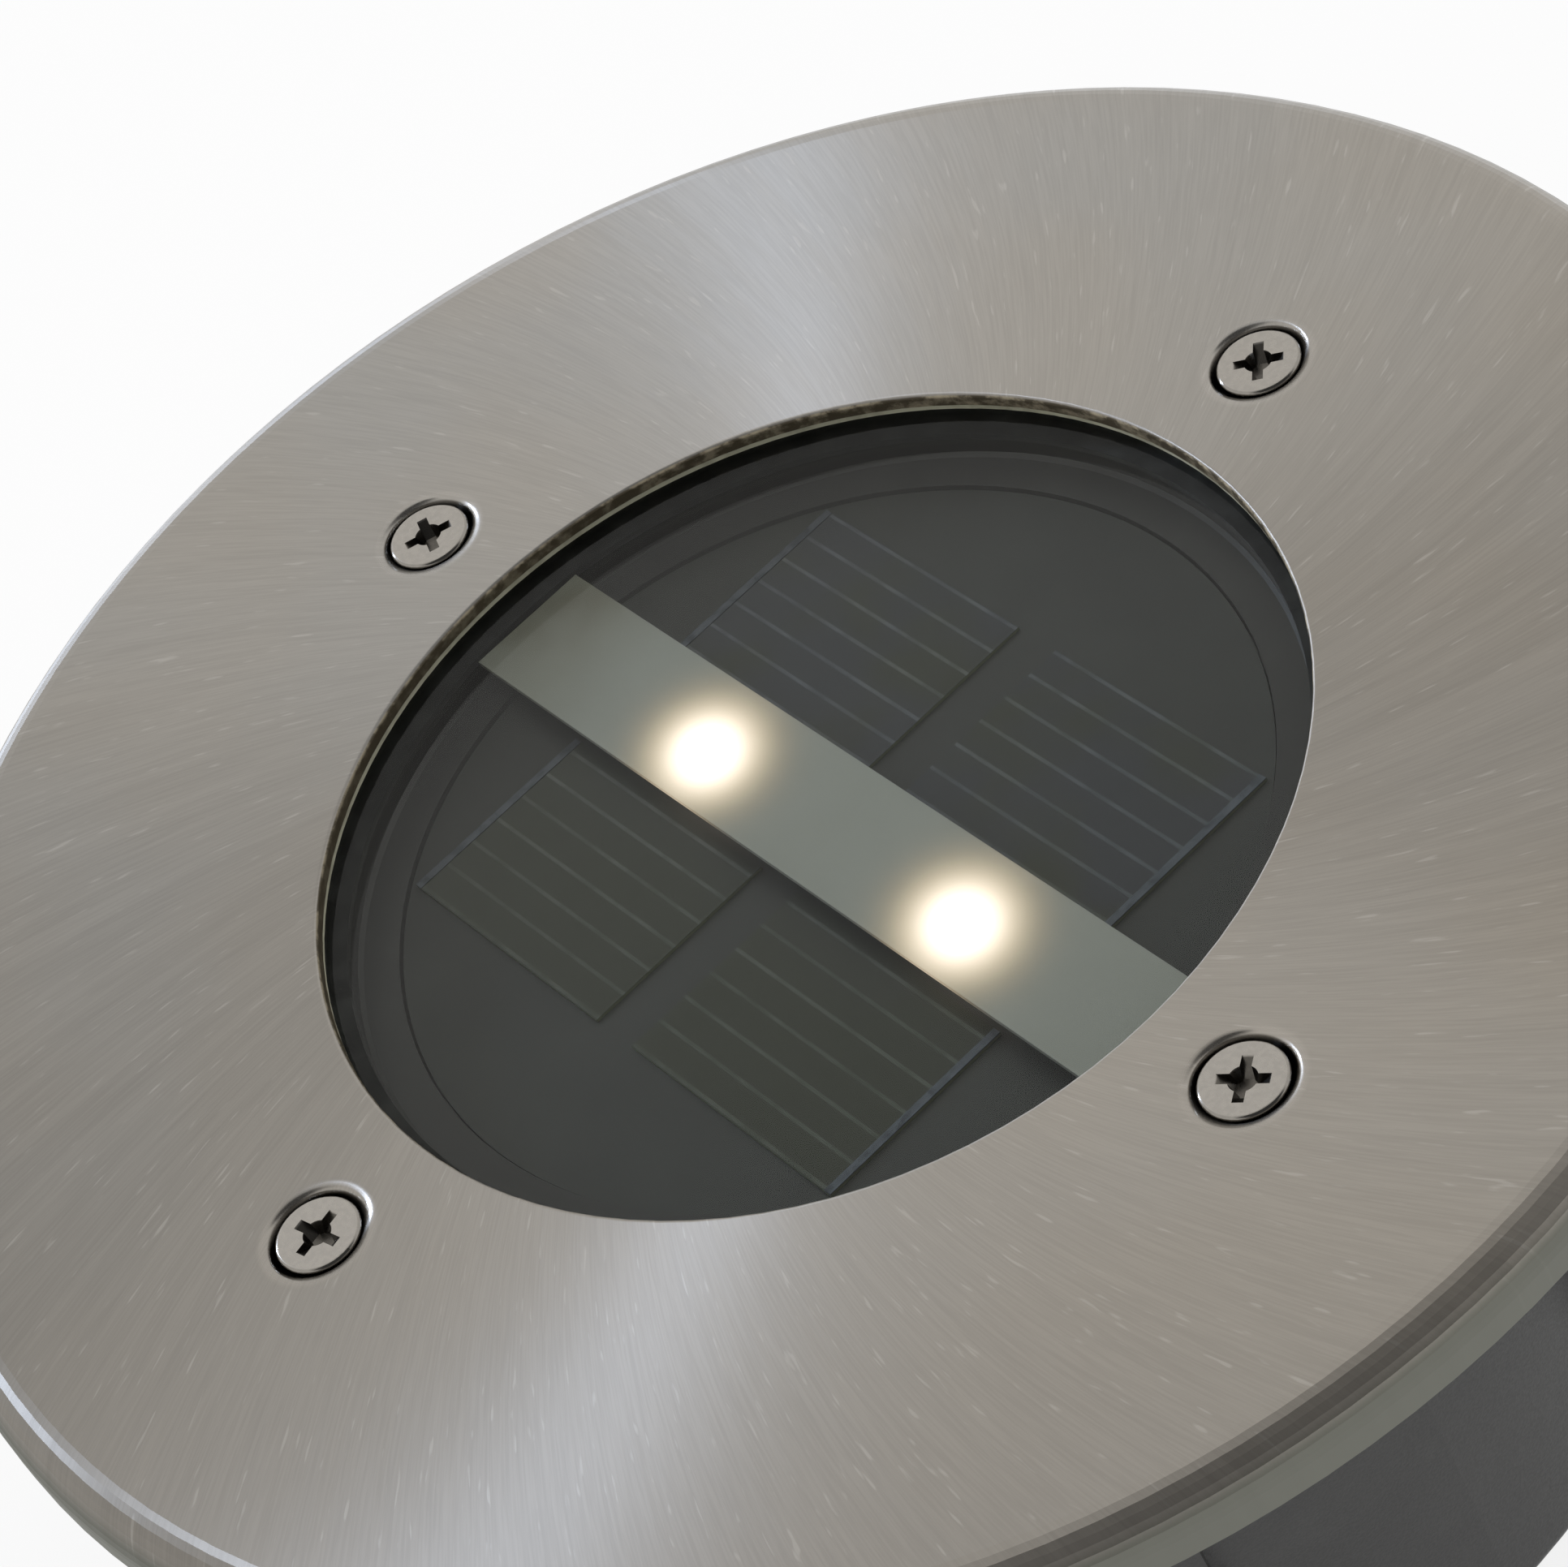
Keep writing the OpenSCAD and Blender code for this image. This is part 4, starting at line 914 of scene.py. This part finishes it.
springLook = {
    "stepsPerTurn": 24,
    "turnGap": 1.03,
    "endGap": 0.02,
    "battery_spring": {"turns": 3.5, "closedTurns": 0.75, "radius": (5.0, 2.6), "wireRadius": 0.34,
                       "length": 2.8},
    "button_spring": {"turns": 5, "closedTurns": 0.75, "radius": (2.2, 2.2), "wireRadius": 0.24,
                      "length": 3.8, "travel": 1.5},
}


def coil(look, stepsPerTurn, turnGap):
    # Points about the Z axis: closed turns at both ends and even pitch between them
    points = []
    turns, closed = look["turns"], look["closedTurns"]
    rise = 2 * look["wireRadius"] * turnGap
    wide, narrow = look["radius"]
    steps = round(turns * stepsPerTurn)
    for step in range(steps + 1):
        turn = turns * step / steps
        first = min(turn, closed) * rise
        last = max(turn - turns + closed, 0) * rise
        middle = min(max(turn - closed, 0), turns - 2 * closed) / (turns - 2 * closed)
        height = first + last + middle * (look["length"] - 2 * closed * rise)
        radius = wide + (narrow - wide) * turn / turns
        angle = 2 * math.pi * turn
        points.append((radius * math.cos(angle), radius * math.sin(angle), height))
    return points


def makeSprings(look, material):
    # The battery's spring lies along X, on the axis of the cell
    low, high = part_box("battery_spring")
    cellLow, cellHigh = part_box("battery_cell")
    one = look["battery_spring"]
    startX = low[0] / mm + one["wireRadius"] + look["endGap"]
    axisZ = (cellLow[2] + cellHigh[2]) / 2 / mm
    points = coil(one, look["stepsPerTurn"], look["turnGap"])
    route = [(startX + z, y, axisZ - x) for x, y, z in points]
    spring = roundWire("batterySpringWire", route, one["wireRadius"], material)
    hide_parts("battery_spring")
    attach(spring, "light")

    # The button's spring stands upright
    low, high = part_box("button_spring")
    one = look["button_spring"]
    middle = [(a + b) / 2 / mm for a, b in zip(low, high)]
    startZ = low[2] / mm + one["wireRadius"]
    points = coil(one, look["stepsPerTurn"], look["turnGap"])
    route = [(middle[0] + x, middle[1] + y, startZ + z) for x, y, z in points]
    spring = roundWire("buttonSpringWire", route, one["wireRadius"], material)
    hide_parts("button_spring")
    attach(spring, "light")
    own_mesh(spring)


# Solder is a list of radii and heights. The routes repeat those of the part's source

leadLook = {
    "sleeveRadius": 0.7,
    "coreRadius": 0.42,
    "coreRings": 2,
    "stripped": 1.1,
    "steps": 24,
    "solderSides": 20,
    "solderAngle": 60,
    "solder": ((0.95, 0), (0.80, 0.10), (0.62, 0.30), (0.48, 0.62), (0.43, 0.90)),
    "routes": {
        "panel_lead_positive": ((4, 16, 40.3), (7, 16, 46.7), "red_lead"),
        "panel_lead_negative": ((-4, 16, 40.3), (-7, 16, 46.7), "black_lead"),
        "battery_lead_positive": ((30.5, 0, 16.15), (29, 0, 38.7), "red_lead"),
        "battery_lead_negative": ((-30.5, 0, 16.15), (-29, 0, 38.7), "black_lead"),
        "switch_lead_1": ((-2.5, -28, 31.5), (-6, -17, 38.7), "red_lead"),
        "switch_lead_2": ((2.5, -28, 31.5), (6, -17, 38.7), "black_lead"),
    },
}


def solderJoint(place, way, look, material):
    # A disc, drawn up ring by ring into the fillet that solder forms round a wire
    profile = look["solder"]
    bpy.ops.object.select_all(action="DESELECT")
    bpy.ops.mesh.primitive_circle_add(vertices=look["solderSides"], radius=profile[0][0] * mm,
                                      fill_type="NGON", location=scaled(mm, place))
    joint = bpy.context.object
    bpy.ops.object.mode_set(mode="EDIT")
    bpy.ops.mesh.select_all(action="SELECT")
    for (wide, low), (narrow, high) in zip(profile, profile[1:]):
        lift = way * (high - low) * mm
        bpy.ops.mesh.extrude_region_move(TRANSFORM_OT_translate={"value": (0, 0, lift)})
        centre = (place[0] * mm, place[1] * mm, (place[2] + way * high) * mm)
        bpy.ops.transform.resize(value=(narrow / wide, narrow / wide, 1), center_override=centre)
    bpy.ops.object.mode_set(mode="OBJECT")
    return finishPiece(joint, "solder", material, look["solderAngle"])


def leadRoute(start, end, steps):
    # Straight out of both ends, with the sideways shift eased in between
    route = []
    for step in range(steps + 1):
        share = step / steps
        ease = share * share * (3 - 2 * share)
        route.append((start[0] + (end[0] - start[0]) * ease, start[1] + (end[1] - start[1]) * ease,
                      start[2] + (end[2] - start[2]) * share))
    return route


def makeLeads(look, sleeves, tinned):
    for name, (start, end, slot) in look["routes"].items():
        route = leadRoute(start, end, look["steps"])
        bareUnder, bareOver = start[2] + look["stripped"], end[2] - look["stripped"]
        covered = [at for at in route if bareUnder <= at[2] <= bareOver]
        parts = [roundWire(name + "Core", route, look["coreRadius"], tinned, look["coreRings"]),
                 solderJoint(start, 1, look, tinned),
                 solderJoint(end, -1, look, tinned)]
        lead = roundWire(name + "Wire", covered, look["sleeveRadius"], sleeves[slot])
        for part in parts:
            part.select_set(True)
        bpy.ops.object.join()
        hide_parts(name)
        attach(lead, "light")


makeSprings(springLook, contactNickel)
sleeves = {"red_lead": softRubber("redSleeve", rubberLook),
           "black_lead": softRubber("blackSleeve", rubberLook)}
makeLeads(leadLook, sleeves, metal("solderTin", metalLook))
print("springs and leads made")
